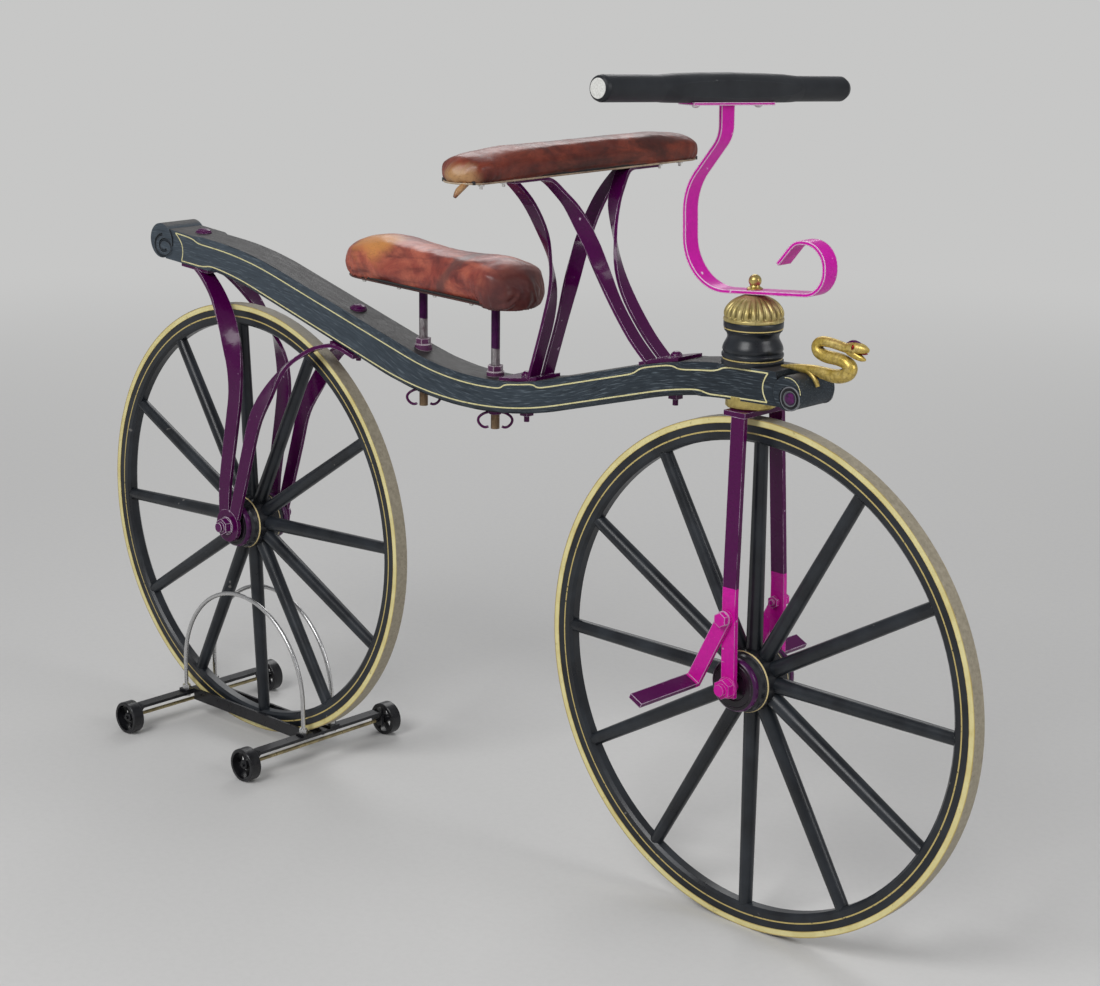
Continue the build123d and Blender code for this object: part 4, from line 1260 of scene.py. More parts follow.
@dataclass
class BeamLines:
    """The beam's painted finish and the pale lines that follow its edges."""

    shop: Shop
    half_width: float = 33.0
    line_half_width: float = 1.1
    boss: tuple[float, float] = (599.0, 762.5)
    scroll: tuple[float, float, float] = (594.0, 768.5, 22.8)
    scroll_half_width: float = 35.0
    top: tuple = ((-700.0, 844.0), (-497.5, 827.8), (23.8, 681.8), (420.4, 788.9), (572.0, 793.5))
    top_rounding: tuple = (800.0, 550.0, 750.0)
    bottom: tuple = ((-700.0, 793.5), (-542.3, 782.5), (0.0, 627.9), (426.8, 743.1), (585.0, 748.6))
    bottom_rounding: tuple = (650.0, 690.0, 600.0)
    near: float = 3.5
    upper_drop: float = 10.0
    lower_rise: float = 9.0
    step: float = 24.0
    line_height: float = 0.18
    boss_outline: tuple = ((15.0, -1.5), (16.0, -1.5), (16.0, 0.9), (15.2, 1.5), (14.2, 1.2), (13.4, 0.1),
                           (11.4, 0.1), (10.8, 1.2), (9.8, 1.2), (9.2, 0.5), (8.4, 0.5), (7.6, 1.7),
                           (5.0, 2.3), (1.0, 2.6))
    crimps: int = 34

    @staticmethod
    def height(corners: Sequence[tuple[float, float]], radii: Sequence[float], x: float) -> float:
        """Height of a line with rounded corners at x.

        Args:
            corners: Corner places of the line, from rear to front.
            radii: How round each inner corner is.
            x: Where the height is wanted.

        Returns:
            The height in millimetres.
        """
        for before, corner, after, radius in zip(corners, corners[1:], corners[2:], radii):
            into = Vector((corner[0] - before[0], corner[1] - before[1])).normalized()
            out = Vector((after[0] - corner[0], after[1] - corner[1])).normalized()
            turn = math.acos(max(-1.0, min(1.0, into.dot(out))))
            reach = radius * math.tan(turn / 2)
            first = Vector(corner) - into * reach
            last = Vector(corner) + out * reach
            if x < first.x:
                return before[1] + (corner[1] - before[1]) * (x - before[0]) / (corner[0] - before[0])
            if x <= last.x:
                inward = (out - into).normalized()
                centre = Vector(corner) + inward * (radius / math.cos(turn / 2))
                rise = math.sqrt(max(radius * radius - (x - centre.x) ** 2, 0.0))
                return centre.y + (rise if inward.y < 0 else -rise)
        (x0, z0), (x1, z1) = corners[-2], corners[-1]
        return z0 + (z1 - z0) * (x - x0) / (x1 - x0)

    def top_at(self, x: float) -> float:
        """Height of the beam's top edge."""
        return self.height(self.top, self.top_rounding, x)

    def bottom_at(self, x: float) -> float:
        """Height of the beam's bottom edge."""
        return self.height(self.bottom, self.bottom_rounding, x)

    def route(self, edge: Callable[[float], float],
              marks: Sequence[tuple[float, float]]) -> list[tuple[float, float]]:
        """Follows an edge of the beam.

        Args:
            edge: Height of that edge at x.
            marks: Places along the beam, and how far above the edge the line is there.

        Returns:
            The line's places, as x and height.
        """
        route = []
        for (start, first), (end, last) in zip(marks, marks[1:]):
            steps = max(int((end - start) / self.step), 1)
            for step in range(steps):
                x = start + (end - start) * step / steps
                route.append((x, edge(x) + (first + (last - first) * step / steps)))
        route.append((marks[-1][0], edge(marks[-1][0]) + marks[-1][1]))
        return route

    def upper_route(self) -> list[tuple[float, float]]:
        """Draws the upper line, which drops wherever the edge is chamfered.

        Returns:
            Its places, as x and height.
        """
        near, far = -self.near, -self.upper_drop
        return self.route(self.top_at, [
            (-672.0, near), (-629.0, near), (-616.0, far), (76.0, far), (84.0, near), (141.0, near),
            (150.0, far), (330.0, far), (342.0, near), (398.0, near), (410.0, far), (474.0, far),
            (487.0, near), (560.0, near)])

    def lower_route(self) -> list[tuple[float, float]]:
        """Draws the lower line, close to the edge at both ends and above the chamfer between them.

        Returns:
            Its places, as x and height.
        """
        near, far = self.near, self.lower_rise
        return self.route(self.bottom_at, [
            (-658.0, near), (-604.0, near), (-584.0, far), (446.0, far), (462.0, near), (560.0, near)])

    def line(self, route: Sequence[tuple[float, float]], side: Side) -> bpy.types.Object:
        """Lays one painted line on a side of the beam, hardly raised above it.

        Args:
            route: Its places, as x and height.
            side: Which side of the beam.

        Returns:
            The line.
        """
        y = side.value * (self.half_width + 0.02)
        points = [(x, y, z) for x, z in route]
        return tube("line", points, [self.line_half_width] * len(points), sides=8, flat=self.line_height)

    def scroll_rim_wear_and_highlight(self, side: Side) -> bpy.types.Object:
        """Lays the crimped pale line round the front roll's edge, which stands for its worn, serrated rim and
        partly for a painted highlight along it.

        Args:
            side: Which face of the roll.

        Returns:
            The line as a closed mesh.
        """
        x, z, radius = self.scroll
        y = side.value * (self.scroll_half_width + 0.05)
        points, radii = [], []
        for step in range(self.crimps):
            angle = math.radians(104.0 - step * 3.1)
            reach = radius - 1.6 - 0.7 * (step % 2)
            points.append((x + reach * math.cos(angle), y, z + reach * math.sin(angle)))
            radii.append(0.75 - 0.45 * (step % 3 == 0))
        return tube("scroll_rim_wear_and_highlight", points, radii, sides=8, flat=0.3)

    def bosses(self) -> None:
        """Turns a ringed boss for each face of the front roll."""
        pieces = []
        for side in Side:
            piece = lathe("boss", self.boss_outline, 48)
            where = (self.boss[0], side.value * self.scroll_half_width, self.boss[1])
            place(piece, where, (0, side.value, 0))
            pieces.append(piece)
        wear(join("roll_bosses", pieces), BossPaint(*self.boss).make(), Body.FRAME)

    def build(self) -> None:
        """Paints the beam, lays its lines and sets its bosses."""
        self.shop.dress(BeamPaint().make(), "beam")
        upper, lower = self.upper_route(), self.lower_route()
        rear = [lower[0], (-654.5, 801.0), (-653.5, 814.0), (-658.0, 827.0), upper[0]]
        front = [upper[-1], (554.5, 782.0), (551.5, 771.0), (554.0, 759.0), lower[-1]]
        pale = LinePaint().make()
        for side in Side:
            parts = [self.line(route, side) for route in (upper, lower, rear, front)]
            # The crimped line is partly a painted highlight on the roll's rim.
            parts.append(self.scroll_rim_wear_and_highlight(side))
            wear(join(f"beam_lines_{side.name.lower()}", parts), pale, Body.FRAME)
        self.bosses()


@dataclass
class Pad:
    """A stuffed leather pad, blown up by a cloth simulation and then creased."""

    name: str
    x: tuple[float, float]
    y: tuple[float, float]
    z: tuple[float, float]
    swell: float
    voxel: float = 5.0
    cap: float = 9.0
    pressure: float = 4.0
    frames: int = 20
    cuts: int = 24
    seed: int = 3
    gathers: float = 1.0
    fold_scale: float = 34.0
    fold_depth: float = 0.6
    pleat_scale: float = 520.0
    pleat_depth: float = 1.3

    def core(self) -> bpy.types.Object:
        """Makes the pad before it swells: a box, divided and shaped.

        Returns:
            The core.
        """
        clear_selection()
        low = Vector((self.x[0], self.y[0], self.z[0])) * MM
        high = Vector((self.x[1], self.y[1], self.z[1])) * MM
        bpy.ops.mesh.primitive_cube_add(size=1, location=(low + high) / 2)
        piece = named(self.name)
        piece.scale = high - low
        settle(piece)
        bpy.ops.object.mode_set(mode="EDIT")
        bpy.ops.mesh.select_all(action="SELECT")
        bpy.ops.mesh.subdivide(number_cuts=self.cuts)
        bpy.ops.object.mode_set(mode="OBJECT")
        middle, size = (low + high) / 2, (high - low) / 2
        for vertex in piece.data.vertices:
            vertex.co = self.shaped(vertex.co, middle, size)
        return piece

    def shaped(self, co: Vector, middle: Vector, size: Vector) -> Vector:
        """Place of one point of the core, from its place in the plain box."""
        return co

    def floor_at(self, co: Vector) -> float:
        """Height below which the pad may not hang."""
        return self.z[0] * MM

    def end_share(self, co: Vector) -> float:
        """0 along the pad's middle, up to 1 at its ends."""
        return 0.0

    def blow_up(self, piece: bpy.types.Object) -> None:
        """Remeshes the core, swells it with pressure and keeps its points near their start.

        Args:
            piece: The core.
        """
        hold(piece)
        piece.data.remesh_voxel_size = self.voxel * MM
        bpy.ops.object.voxel_remesh()
        start = [vertex.co.copy() for vertex in piece.data.vertices]
        cloth = piece.modifiers.new("Cloth", "CLOTH")
        settings = cloth.settings
        settings.use_pressure = True
        settings.uniform_pressure_force = self.pressure
        settings.effector_weights.gravity = 0
        settings.quality = 5
        settings.mass = 0.3
        settings.tension_stiffness = 25
        settings.compression_stiffness = 12
        settings.bending_stiffness = 2
        scene = bpy.context.scene
        for frame in range(1, self.frames + 1):
            scene.frame_set(frame)
        hold(piece)
        bpy.ops.object.modifier_apply(modifier=cloth.name)
        scene.frame_set(1)
        for vertex, before in zip(piece.data.vertices, start):
            moved = vertex.co - before
            if moved.length > self.cap * MM:
                vertex.co = before + moved.normalized() * self.cap * MM

    def crease(self, piece: bpy.types.Object) -> None:
        """Lays soft folds over the skin and gathers it in pleats towards its lower edge.

        Args:
            piece: The swollen pad.
        """
        normals = [vertex.normal.copy() for vertex in piece.data.vertices]
        height = (self.z[1] - self.z[0]) * MM
        for vertex, normal in zip(piece.data.vertices, normals):
            where = vertex.co * self.fold_scale + Vector((self.seed, 0, 0))
            fold = noise.fractal(Vector((where.x, where.y * 0.6, where.z)), 0.7, 2.0, 3)
            low = max(0.0, 1.0 - (vertex.co.z - self.floor_at(vertex.co)) / (0.75 * height))
            along = (vertex.co.x - vertex.co.y) * self.pleat_scale
            wave = math.sin(along + 5.0 * noise.noise(vertex.co * 55.0))
            pleat = wave * low * (0.15 + self.end_share(vertex.co))
            depth = fold * self.fold_depth + pleat * self.pleat_depth * self.gathers
            vertex.co += normal * depth * MM

    def build(self, material: bpy.types.Material, slot: str, node: str) -> None:
        """Makes the pad, dresses it and stands it in for its node.

        Args:
            material: Its leather.
            slot: The record's material slot; not used.
            node: The CAD node that it replaces.
        """
        piece = self.core()
        self.blow_up(piece)
        softer = piece.modifiers.new("Smooth", "SMOOTH")
        softer.factor = 0.5
        softer.iterations = 5
        finer = piece.modifiers.new("Subdivision", "SUBSURF")
        finer.levels = finer.render_levels = 1
        apply_modifiers(piece)
        self.crease(piece)
        self.trim(piece)
        self.lean(piece)
        piece.data.update()
        hold(piece)
        bpy.ops.object.shade_smooth()
        wear(piece, material, Body.FRAME, [node])

    def trim(self, piece: bpy.types.Object) -> None:
        """Flattens the pad's underside round its board."""
        for vertex in piece.data.vertices:
            vertex.co.z = max(vertex.co.z, self.floor_at(vertex.co))

    def lean(self, piece: bpy.types.Object) -> None:
        """Tips the finished pad where the real one isn't level."""


@dataclass
class SaddlePad(Pad):
    """The long seat: high and round behind, a little lower in the middle and full in front."""

    tip: float = 1.7
    tip_point: Point = (112.0, 0.0, 812.0)
    front_drop: float = 6.0
    drop_ends: tuple[float, float] = (0.012, 0.062)

    def shaped(self, co: Vector, middle: Vector, size: Vector) -> Vector:
        """Gives the core round ends in plan and the seat's long wave on top.

        Args:
            co: One point's place in the plain box.
            middle: The box's middle.
            size: Half of its size.

        Returns:
            The point's place.
        """
        along = abs(co.x - middle.x)
        u, v, w = (co.x - middle.x) / size.x, (co.y - middle.y) / size.y, (co.z - middle.z) / size.z
        end = max(0.0, along - (size.x - size.y)) / size.y
        plan = math.sqrt(max(1.0 - end ** 2.3, 0.03))
        wave = 0.85 + 0.15 * min(1.0, abs(u - 0.04) * 1.5) ** 1.6
        crown = 1.0 - 0.2 * v * v
        nose = 1.0 - 0.3 * end ** 2.5
        base = self.floor_at(co)
        z = base + (w + 1.0) / 2.0 * (2.0 * size.z * wave * crown * nose + (middle.z - size.z - base))
        tuck = 1.0 - 0.13 * max(0.0, -w) ** 1.5 - 0.05 * max(0.0, w) ** 2
        x = co.x - math.copysign((0.16 * w * w) * size.y * end * end, u)
        return Vector((x, middle.y + (co.y - middle.y) * plan * tuck, z))

    def floor_at(self, co: Vector) -> float:
        """Finds the board's underside, and lower where the front lobe hangs over it.

        Args:
            co: A point of the pad.

        Returns:
            The height below which it may not hang.
        """
        start, length = self.drop_ends
        share = min(max((co.x - start) / length, 0.0), 1.0)
        return (self.z[0] - self.front_drop * share * share * (3.0 - 2.0 * share)) * MM

    def end_share(self, co: Vector) -> float:
        """Grows towards the seat's two ends."""
        middle, half = (self.x[0] + self.x[1]) / 2 * MM, (self.x[1] - self.x[0]) / 2 * MM
        return min(max((abs(co.x - middle) / half - 0.5) / 0.3, 0.0), 1.0)

    def lean(self, piece: bpy.types.Object) -> None:
        """Tips the seat's nose down.

        Args:
            piece: The finished pad or its piping.
        """
        point = Vector(self.tip_point) * MM
        turn = Matrix.Rotation(math.radians(self.tip), 4, "Y")
        piece.data.transform(Matrix.Translation(point) @ turn @ Matrix.Translation(-point))


@dataclass
class RestPad(Pad):
    """The arm rest's roll: domed across, with round ends."""

    gather_from: float = 170.0
    gather_over: float = 50.0

    def shaped(self, co: Vector, middle: Vector, size: Vector) -> Vector:
        """Gives the core round ends in plan and a domed top.

        Args:
            co: One point's place in the plain box.
            middle: The box's middle.
            size: Half of its size.

        Returns:
            The point's place.
        """
        u, w = (co.x - middle.x) / size.x, (co.z - middle.z) / size.z
        end = max(0.0, abs(co.y - middle.y) - (size.y - size.x)) / size.x
        plan = math.sqrt(max(1.0 - end ** 2.4, 0.03))
        tall = (1.0 - 0.3 * u * u) * (1.0 - 0.3 * end ** 2.5)
        z = middle.z - size.z + (w + 1.0) * size.z * tall
        tuck = 1.0 - 0.12 * max(0.0, -w) ** 1.5
        y = co.y - math.copysign(0.14 * w * w * size.x * end * end, co.y)
        return Vector((middle.x + (co.x - middle.x) * plan * tuck, y, z))

    def end_share(self, co: Vector) -> float:
        """Grows towards the roll's two ends."""
        return min(max((abs(co.y) / MM - self.gather_from) / self.gather_over, 0.0), 1.0)


@dataclass
class Seating:
    """Saddle, arm rest, and the iron and boards that carry them."""

    shop: Shop
    welt_radius: float = 1.3
    welt_steps: int = 96
    rest_bolts: tuple = ((1.8, 0), (2.2, 0.6), (2.2, 4.0), (4.6, 4.2), (4.6, 7.2), (4.0, 8.0))
    rest_bolt_x: float = 210.0
    rest_bolt_y: tuple = (-206.0, -164.0, 151.0, 195.0)
    rest_bolt_z: float = 1007.5
    tacks: tuple = ((0.6, -3.0), (2.6, -2.4), (3.4, -0.8), (3.4, 0.0), (1.5, 2.0))
    tack_x: tuple = (-196.0, -120.0, -44.0, 32.0)
    tack_y: float = 47.0
    tack_z: float = 811.5

    def welt(self, name: str, centre: Point, half_long: float, half_wide: float,
             along_y: bool) -> bpy.types.Object:
        """Thin piping round a pad's lower edge.

        Args:
            name: The piping's name.
            centre: Middle of the pad's underside, in millimetres.
            half_long: Half of the pad's length.
            half_wide: Half of its width, and the radius of its ends.
            along_y: Whether the pad lies across the machine.

        Returns:
            The piping as a closed mesh.
        """
        straight = half_long - half_wide
        outline = []
        for step in range(self.welt_steps + 1):
            angle = 2.0 * math.pi * step / self.welt_steps
            out, side = math.cos(angle), math.sin(angle)
            outline.append((math.copysign(straight, out) + half_wide * out, half_wide * side))
        places = [(side, out) if along_y else (out, side) for out, side in outline]
        points = [(centre[0] + a, centre[1] + b, centre[2]) for a, b in places]
        return tube(name, points, [self.welt_radius] * len(points), sides=8)

    def hanging_bolts(self) -> None:
        """Short bright bolts under the arm rest and tacks under the saddle's edge."""
        bolts = []
        for y in self.rest_bolt_y:
            bolt = lathe("bolt", self.rest_bolts, 18)
            place(bolt, (self.rest_bolt_x, y, self.rest_bolt_z))
            bolts.append(bolt)
        slope = math.tan(math.radians(SaddlePad.tip))
        for x in self.tack_x:
            for y in (-self.tack_y, self.tack_y):
                tack = lathe("tack", self.tacks, 16)
                place(tack, (x, y, self.tack_z + (SaddlePad.tip_point[0] - x) * slope))
                bolts.append(tack)
        steel = Metal("bolt_steel", (0.7, 0.69, 0.67), (0.4, 0.38, 0.36), 0.22).make()
        wear(join("seat_bolts", bolts), steel, Body.FRAME)

    def saddle(self) -> SaddlePad:
        """Makes the saddle's pad.

        Returns:
            The pad's measures, which its piping follows.
        """
        leather = Leather("saddle_leather", (0.085, 0.02, 0.021), (0.29, 0.06, 0.044), (0.5, 0.135, 0.082),
                          (0.66, 0.29, 0.08), patch=(-185.0, -25.0, 868.0), patch_size=(62.0, 52.0, 44.0),
                          stain_x=-20.0, dim_from=25.0).make()
        pad = SaddlePad("saddle_pad_leather", (-263.0, 109.5), (-58.5, 58.5), (812.8, 870.5), 0.85, cap=8.0)
        pad.build(leather, "saddle_leather", "saddle_pad")
        return pad

    def saddle_edge(self, pad: SaddlePad) -> None:
        """Lays the piping under the saddle's edge and tips it as the pad is tipped.

        Args:
            pad: The saddle's pad.
        """
        edge = self.welt("saddle_piping", (-81.0, 0.0, 813.0), 175.5, 50.0, False)
        pad.lean(edge)
        dark = Leather("saddle_piping_leather", (0.03, 0.012, 0.012), (0.07, 0.03, 0.028), (0.12, 0.06, 0.05),
                       (0.12, 0.06, 0.05)).make()
        wear(edge, dark, Body.FRAME)

    def rest(self) -> None:
        """Makes the arm rest's pad, its piping and the leather tag at its end."""
        leather = Leather("rest_leather", (0.03, 0.008, 0.006), (0.13, 0.022, 0.013), (0.24, 0.046, 0.023),
                          (0.46, 0.27, 0.12), patch=(205.0, -246.0, 1026.0), patch_size=(70.0, 34.0, 34.0),
                          streak=(34.0, 9.0, 34.0)).make()
        pad = RestPad("rest_pad_leather", (147.0, 227.0), (-243.0, 243.0), (1015.8, 1051.0), 0.8, cap=6.5,
                      seed=9, gathers=0.5)
        pad.build(leather, "rest_leather", "rest_pad")
        pale = Leather("piping_leather", (0.16, 0.1, 0.07), (0.34, 0.25, 0.17), (0.5, 0.4, 0.28),
                       (0.5, 0.4, 0.3)).make()
        edge = self.welt("rest_piping", (187.0, 0.0, 1016.2), 237.5, 35.5, True)
        wear(edge, pale, Body.FRAME)
        route = [(203, -226, 1016), (204, -236, 1011.5), (204, -244, 1006), (204, -248.5, 1000)]
        tag = tube("rest_tag", route, [4.0, 4.6, 4.4, 2.2], sides=12)
        wear(tag, leather, Body.FRAME)

    def build(self) -> None:
        """Makes both pads and dresses what is under them."""
        pad = self.saddle()
        self.rest()
        self.saddle_edge(pad)
        self.hanging_bolts()
        dress = self.shop.dress
        dress(self.shop.finishes["purple"], "rest_rear_strap", "rest_front_strap", "saddle_rear_horn_nut",
              "saddle_front_horn_nut", "rear_stays", "fore_stays", "frame_bolts")
        dress(BlackWood("board_paint", colour=(0.03, 0.024, 0.02)).make(), "rest_board", "saddle_board")
        dress(PostPaint().make(), "saddle_posts")
        # Heavy pale wear on the nuts' edges: chipped paint and partly painted highlights.
        nuts = WornPaint("post_nut_paint", (0.12, 0.035, 0.1), chips=1.0, edge=2.2, pale=(0.6, 0.53, 0.57))
        dress(nuts.make(), "saddle_post_nuts")


@dataclass
class Steering:
    """Fork, straps, handlebar and footrests."""

    shop: Shop
    paint_line: float = 498.0
    handlebar: tuple[float, float] = (454.0, 1143.0)
    handlebar_tilt: float = 3.1
    plate_under: float = 20.5
    bolt_reach: float = 64.0
    bolt_outline: tuple = ((4.6, -0.5), (5.2, 0.4), (4.8, 2.0), (3.2, 3.4), (1.0, 4.0))
    purple: Colour = (0.082, 0.001, 0.068)
    magenta: Colour = (0.62, 0.006, 0.34)
    pink: Colour = (0.66, 0.006, 0.41)
    pink_chips_and_glints: Colour = (0.95, 0.84, 0.93)

    def plate_bolts(self) -> None:
        """Two small domed bolts below the handlebar's plate."""
        tilt = math.radians(self.handlebar_tilt)
        heads = []
        for side in Side:
            head = lathe("bolt", self.bolt_outline, 24)
            along = self.bolt_reach * side.value
            y = along * math.cos(tilt) - self.plate_under * math.sin(tilt)
            z = self.handlebar[1] - along * math.sin(tilt) - self.plate_under * math.cos(tilt)
            place(head, (self.handlebar[0], y, z), (0, -math.sin(tilt), -math.cos(tilt)))
            heads.append(head)
        steel = Metal("handlebar_bolt_steel", (0.72, 0.66, 0.7), (0.4, 0.3, 0.38), 0.22).make()
        wear(join("handlebar_bolts", heads), steel, Body.STEERING)

    def build(self) -> None:
        """Dresses what turns with the front wheel."""
        dress, finishes = self.shop.dress, self.shop.finishes
        blades = WornPaint("blade_paint", self.purple, self.magenta, change_z=self.paint_line)
        steps = WornPaint("footrest_paint", self.magenta, self.purple, change_y=66.0, chips=1.0, edge=1.8)
        # The strap's near-white edges are chipped paint and partly painted glints.
        strap = WornPaint("strap_paint", self.pink, chips=1.0, gloss=0.3, edge=2.4, pale=self.pink_chips_and_glints)
        axle = WornPaint("axle_paint", self.magenta, edge=0.9)
        dress(blades.make(), "fork_left_blade", "fork_right_blade")
        dress(steps.make(), "left_footrest", "right_footrest")
        dress(strap.make(), "steering_strap", "handlebar_plate")
        dress(axle.make(), "front_axle")
        dress(finishes["purple"], "fork_crown")
        dress(finishes["rubbed_and_glinting_purple"], "rear_axle")
        dress(HandlebarPaint().make(), "handlebar")
        dress(finishes["brass"], "steering_ball_nut")
        self.plate_bolts()


@dataclass
class Head:
    """Vase, gilt dome, collar and the serpent in front of them."""

    shop: Shop
    x: float = 508.0
    base_z: float = 791.5
    vase_height: float = 56.0
    vase_sides: int = 96
    gold_lines: tuple[float, float] = (7.4, 47.0)
    flutes: int = 24
    vase_outline: tuple = (
        (30, -0.5), (40.4, -0.5), (41, 0.5), (41, 5.0), (40.2, 6.0), (39.3, 6.8), (39.3, 8.0), (40.4, 9.2),
        (41.0, 10.6), (41.0, 13), (40.2, 14.4), (38.4, 15.4), (39.2, 16.6), (40.2, 19), (39.8, 22),
        (38.2, 26), (35.8, 30.5), (34.2, 34), (34.0, 36.5), (34.8, 39.5), (36.6, 42.2), (38.2, 43.8),
        (37.2, 44.6), (38.4, 45.6), (39.2, 46.4), (38.8, 47.6), (39.3, 48.6), (39.5, 50), (39.5, 55),
        (39.0, 56), (30, 56))
    dome_outline: tuple = (
        (30, 0), (39.2, 0), (40.0, 0.8), (40.0, 3.8), (39.3, 4.8), (38.2, 5.4), (38.9, 6.6), (39.2, 9.5),
        (38.6, 13.5), (36.9, 17.5), (33.8, 21.8), (29.4, 25.8), (24.0, 29.2), (18.4, 31.6), (14.8, 33.0),
        (13.4, 33.6), (13.0, 34.0), (11, 34.0))
    flute_cuts: tuple = ((6.0, 7.0, 0, 0.9), (7.0, 31.0, 0, 0.855), (31.0, 32.5, 0, 0.93),
                         (6.0, 31.0, 2, 1.015))

    def vase(self) -> None:
        """Turns the black vase with its two gold lines."""
        piece = lathe("head_vase_turned", self.vase_outline, self.vase_sides)
        place(piece, (self.x, 0, self.base_z))
        paint = BlackWood("vase_paint", heights=tuple(self.base_z + line for line in self.gold_lines))
        wear(piece, paint.make(), Body.FRAME, ["head_vase"])

    def dome(self) -> None:
        """Turns the dome, then draws every fourth rib in to make deep flutes between round lobes."""
        piece = lathe("head_dome_fluted", self.dome_outline, self.flutes * 4)
        bpy.ops.object.mode_set(mode="EDIT")
        for low, high, rib, amount in self.flute_cuts:
            choose(piece, Domain.VERTS, lambda vertex: low * MM < vertex.co.z < high * MM and round(
                math.degrees(math.atan2(vertex.co.y, vertex.co.x)) * self.flutes / 90) % 4 == rib)
            bpy.ops.transform.resize(value=(amount, amount, 1), center_override=(0, 0, 0))
        bpy.ops.object.mode_set(mode="OBJECT")
        rounder = piece.modifiers.new("Subdivision", "SUBSURF")
        rounder.levels = rounder.render_levels = 2
        apply_modifiers(piece)
        smooth(piece, 60)
        place(piece, (self.x, 0, self.base_z + self.vase_height))
        wear(piece, self.shop.finishes["gilding"], Body.FRAME, ["head_dome"])

    def serpent(self) -> None:
        """Shapes the gilt serpent: tail on the beam, neck bent back, head with an open mouth."""
        body = [(556, 0, 794.6), (575, 0, 796.2), (593, 0, 796.0), (611, 0, 796.4), (628, 0, 794.4),
                (640, 0, 793.4), (652, 0, 794.6), (663, 0, 799.5), (667, 0, 807.3), (660, 0, 813.6),
                (646, 0, 816.6), (628, 0, 816.6), (616, 0, 820.0), (612, 0, 826.0), (612.5, 0, 831.5),
                (619, 0, 836.0), (632, 0, 836.0), (646, 0, 834.2), (656, 0, 832.3), (664, 0, 832.0)]
        girth = [1.2, 4.0, 6.0, 7.2, 8.4, 9.0, 9.4, 9.4, 9.2, 8.8, 8.4, 8.4, 8.2, 7.8, 7.2, 6.8, 6.6, 6.4,
                 6.2, 6.6]
        skull = [(658, 0, 832), (665, 0, 833.4), (673, 0, 834.6), (681, 0, 834.6), (687, 0, 834.0),
                 (692, 0, 833.4)]
        jaw = [(662, 0, 829.5), (670, 0, 826.4), (678, 0, 823.4), (684, 0, 821.6), (688, 0, 821.0)]
        parts = [tube("serpent_body", body, girth, sides=24),
                 tube("serpent_skull", skull, [6.4, 8.0, 8.2, 7.0, 5.4, 2.6], sides=20),
                 tube("serpent_jaw", jaw, [5.6, 5.8, 4.8, 3.6, 1.6])]
        for y, back in ((-5.0, 0.0), (12.0, 9.0)):
            leg = [(601 - back, y * 0.6, 795), (610.5 - back, y * 0.9, 790.5), (616.5 - back, y, 784),
                   (619.5 - back, y, 777)]
            parts.append(tube("serpent_leg", leg, [4.0, 3.8, 3.2, 2.8], sides=12))
        piece = join("serpent", parts)
        smooth(piece, 60)
        wear(piece, self.shop.finishes["serpent"], Body.FRAME, ["figurehead"])

    def serpent_details(self) -> None:
        """Adds the serpent's purple crest, red tongue and red eyes."""
        comb = [(657, 0, 837.5), (664, 0, 840.5), (672, 0, 842.0), (681, 0, 840.6)]
        crest = tube("serpent_crest", comb, [0.8, 2.8, 3.2, 1.0], sides=12)
        wear(crest, self.shop.finishes["purple"], Body.FRAME)
        tongue = [(672, 0, 831), (680, 0, 829.4), (687, 0, 828.6), (691, 0, 829.2)]
        marks = [tube("tongue", tongue, [2.6, 2.4, 1.8, 0.6], sides=10)]
        for side in Side:
            eye = lathe("serpent_eye", [(0.4, 0), (1.9, 0.2), (2.2, 0.8), (1.3, 1.5), (0.3, 1.8)], 16)
            eye.scale = (1.0, 1.5, 1.0)
            place(eye, (673, side.value * 7.2, 836.2), (0, side.value, 0.25))
            marks.append(eye)
        red = Metal("serpent_red", (0.24, 0.012, 0.012), (0.05, 0.0, 0.0)).make()
        wear(join("serpent_marks", marks), red, Body.FRAME)

    def build(self) -> None:
        """Makes the head's turned and carved pieces."""
        self.vase()
        self.dome()
        self.serpent()
        self.serpent_details()
        self.shop.dress(self.shop.finishes["brass"], "head_collar")


@dataclass
class Stand:
    """The stand that holds the rear wheel."""

    shop: Shop
    rod_reach: float = 128.0

    def build(self) -> None:
        """Dresses the stand's nodes."""
        dress = self.shop.dress
        steel = Metal("hoop_steel", (0.6, 0.6, 0.6), (0.46, 0.45, 0.44), 0.26, amount=0.3, scratches=0.1)
        rollers = StandPaint("roller_paint", self.rod_reach)
        dress(StandPaint().make(), "stand_rear_bar", "stand_front_bar", "stand_left_rail", "stand_right_rail")
        dress(rollers.make(), "stand_rear_rollers", "stand_front_rollers")
        dress(steel.make(), "stand_left_hoop", "stand_right_hoop")


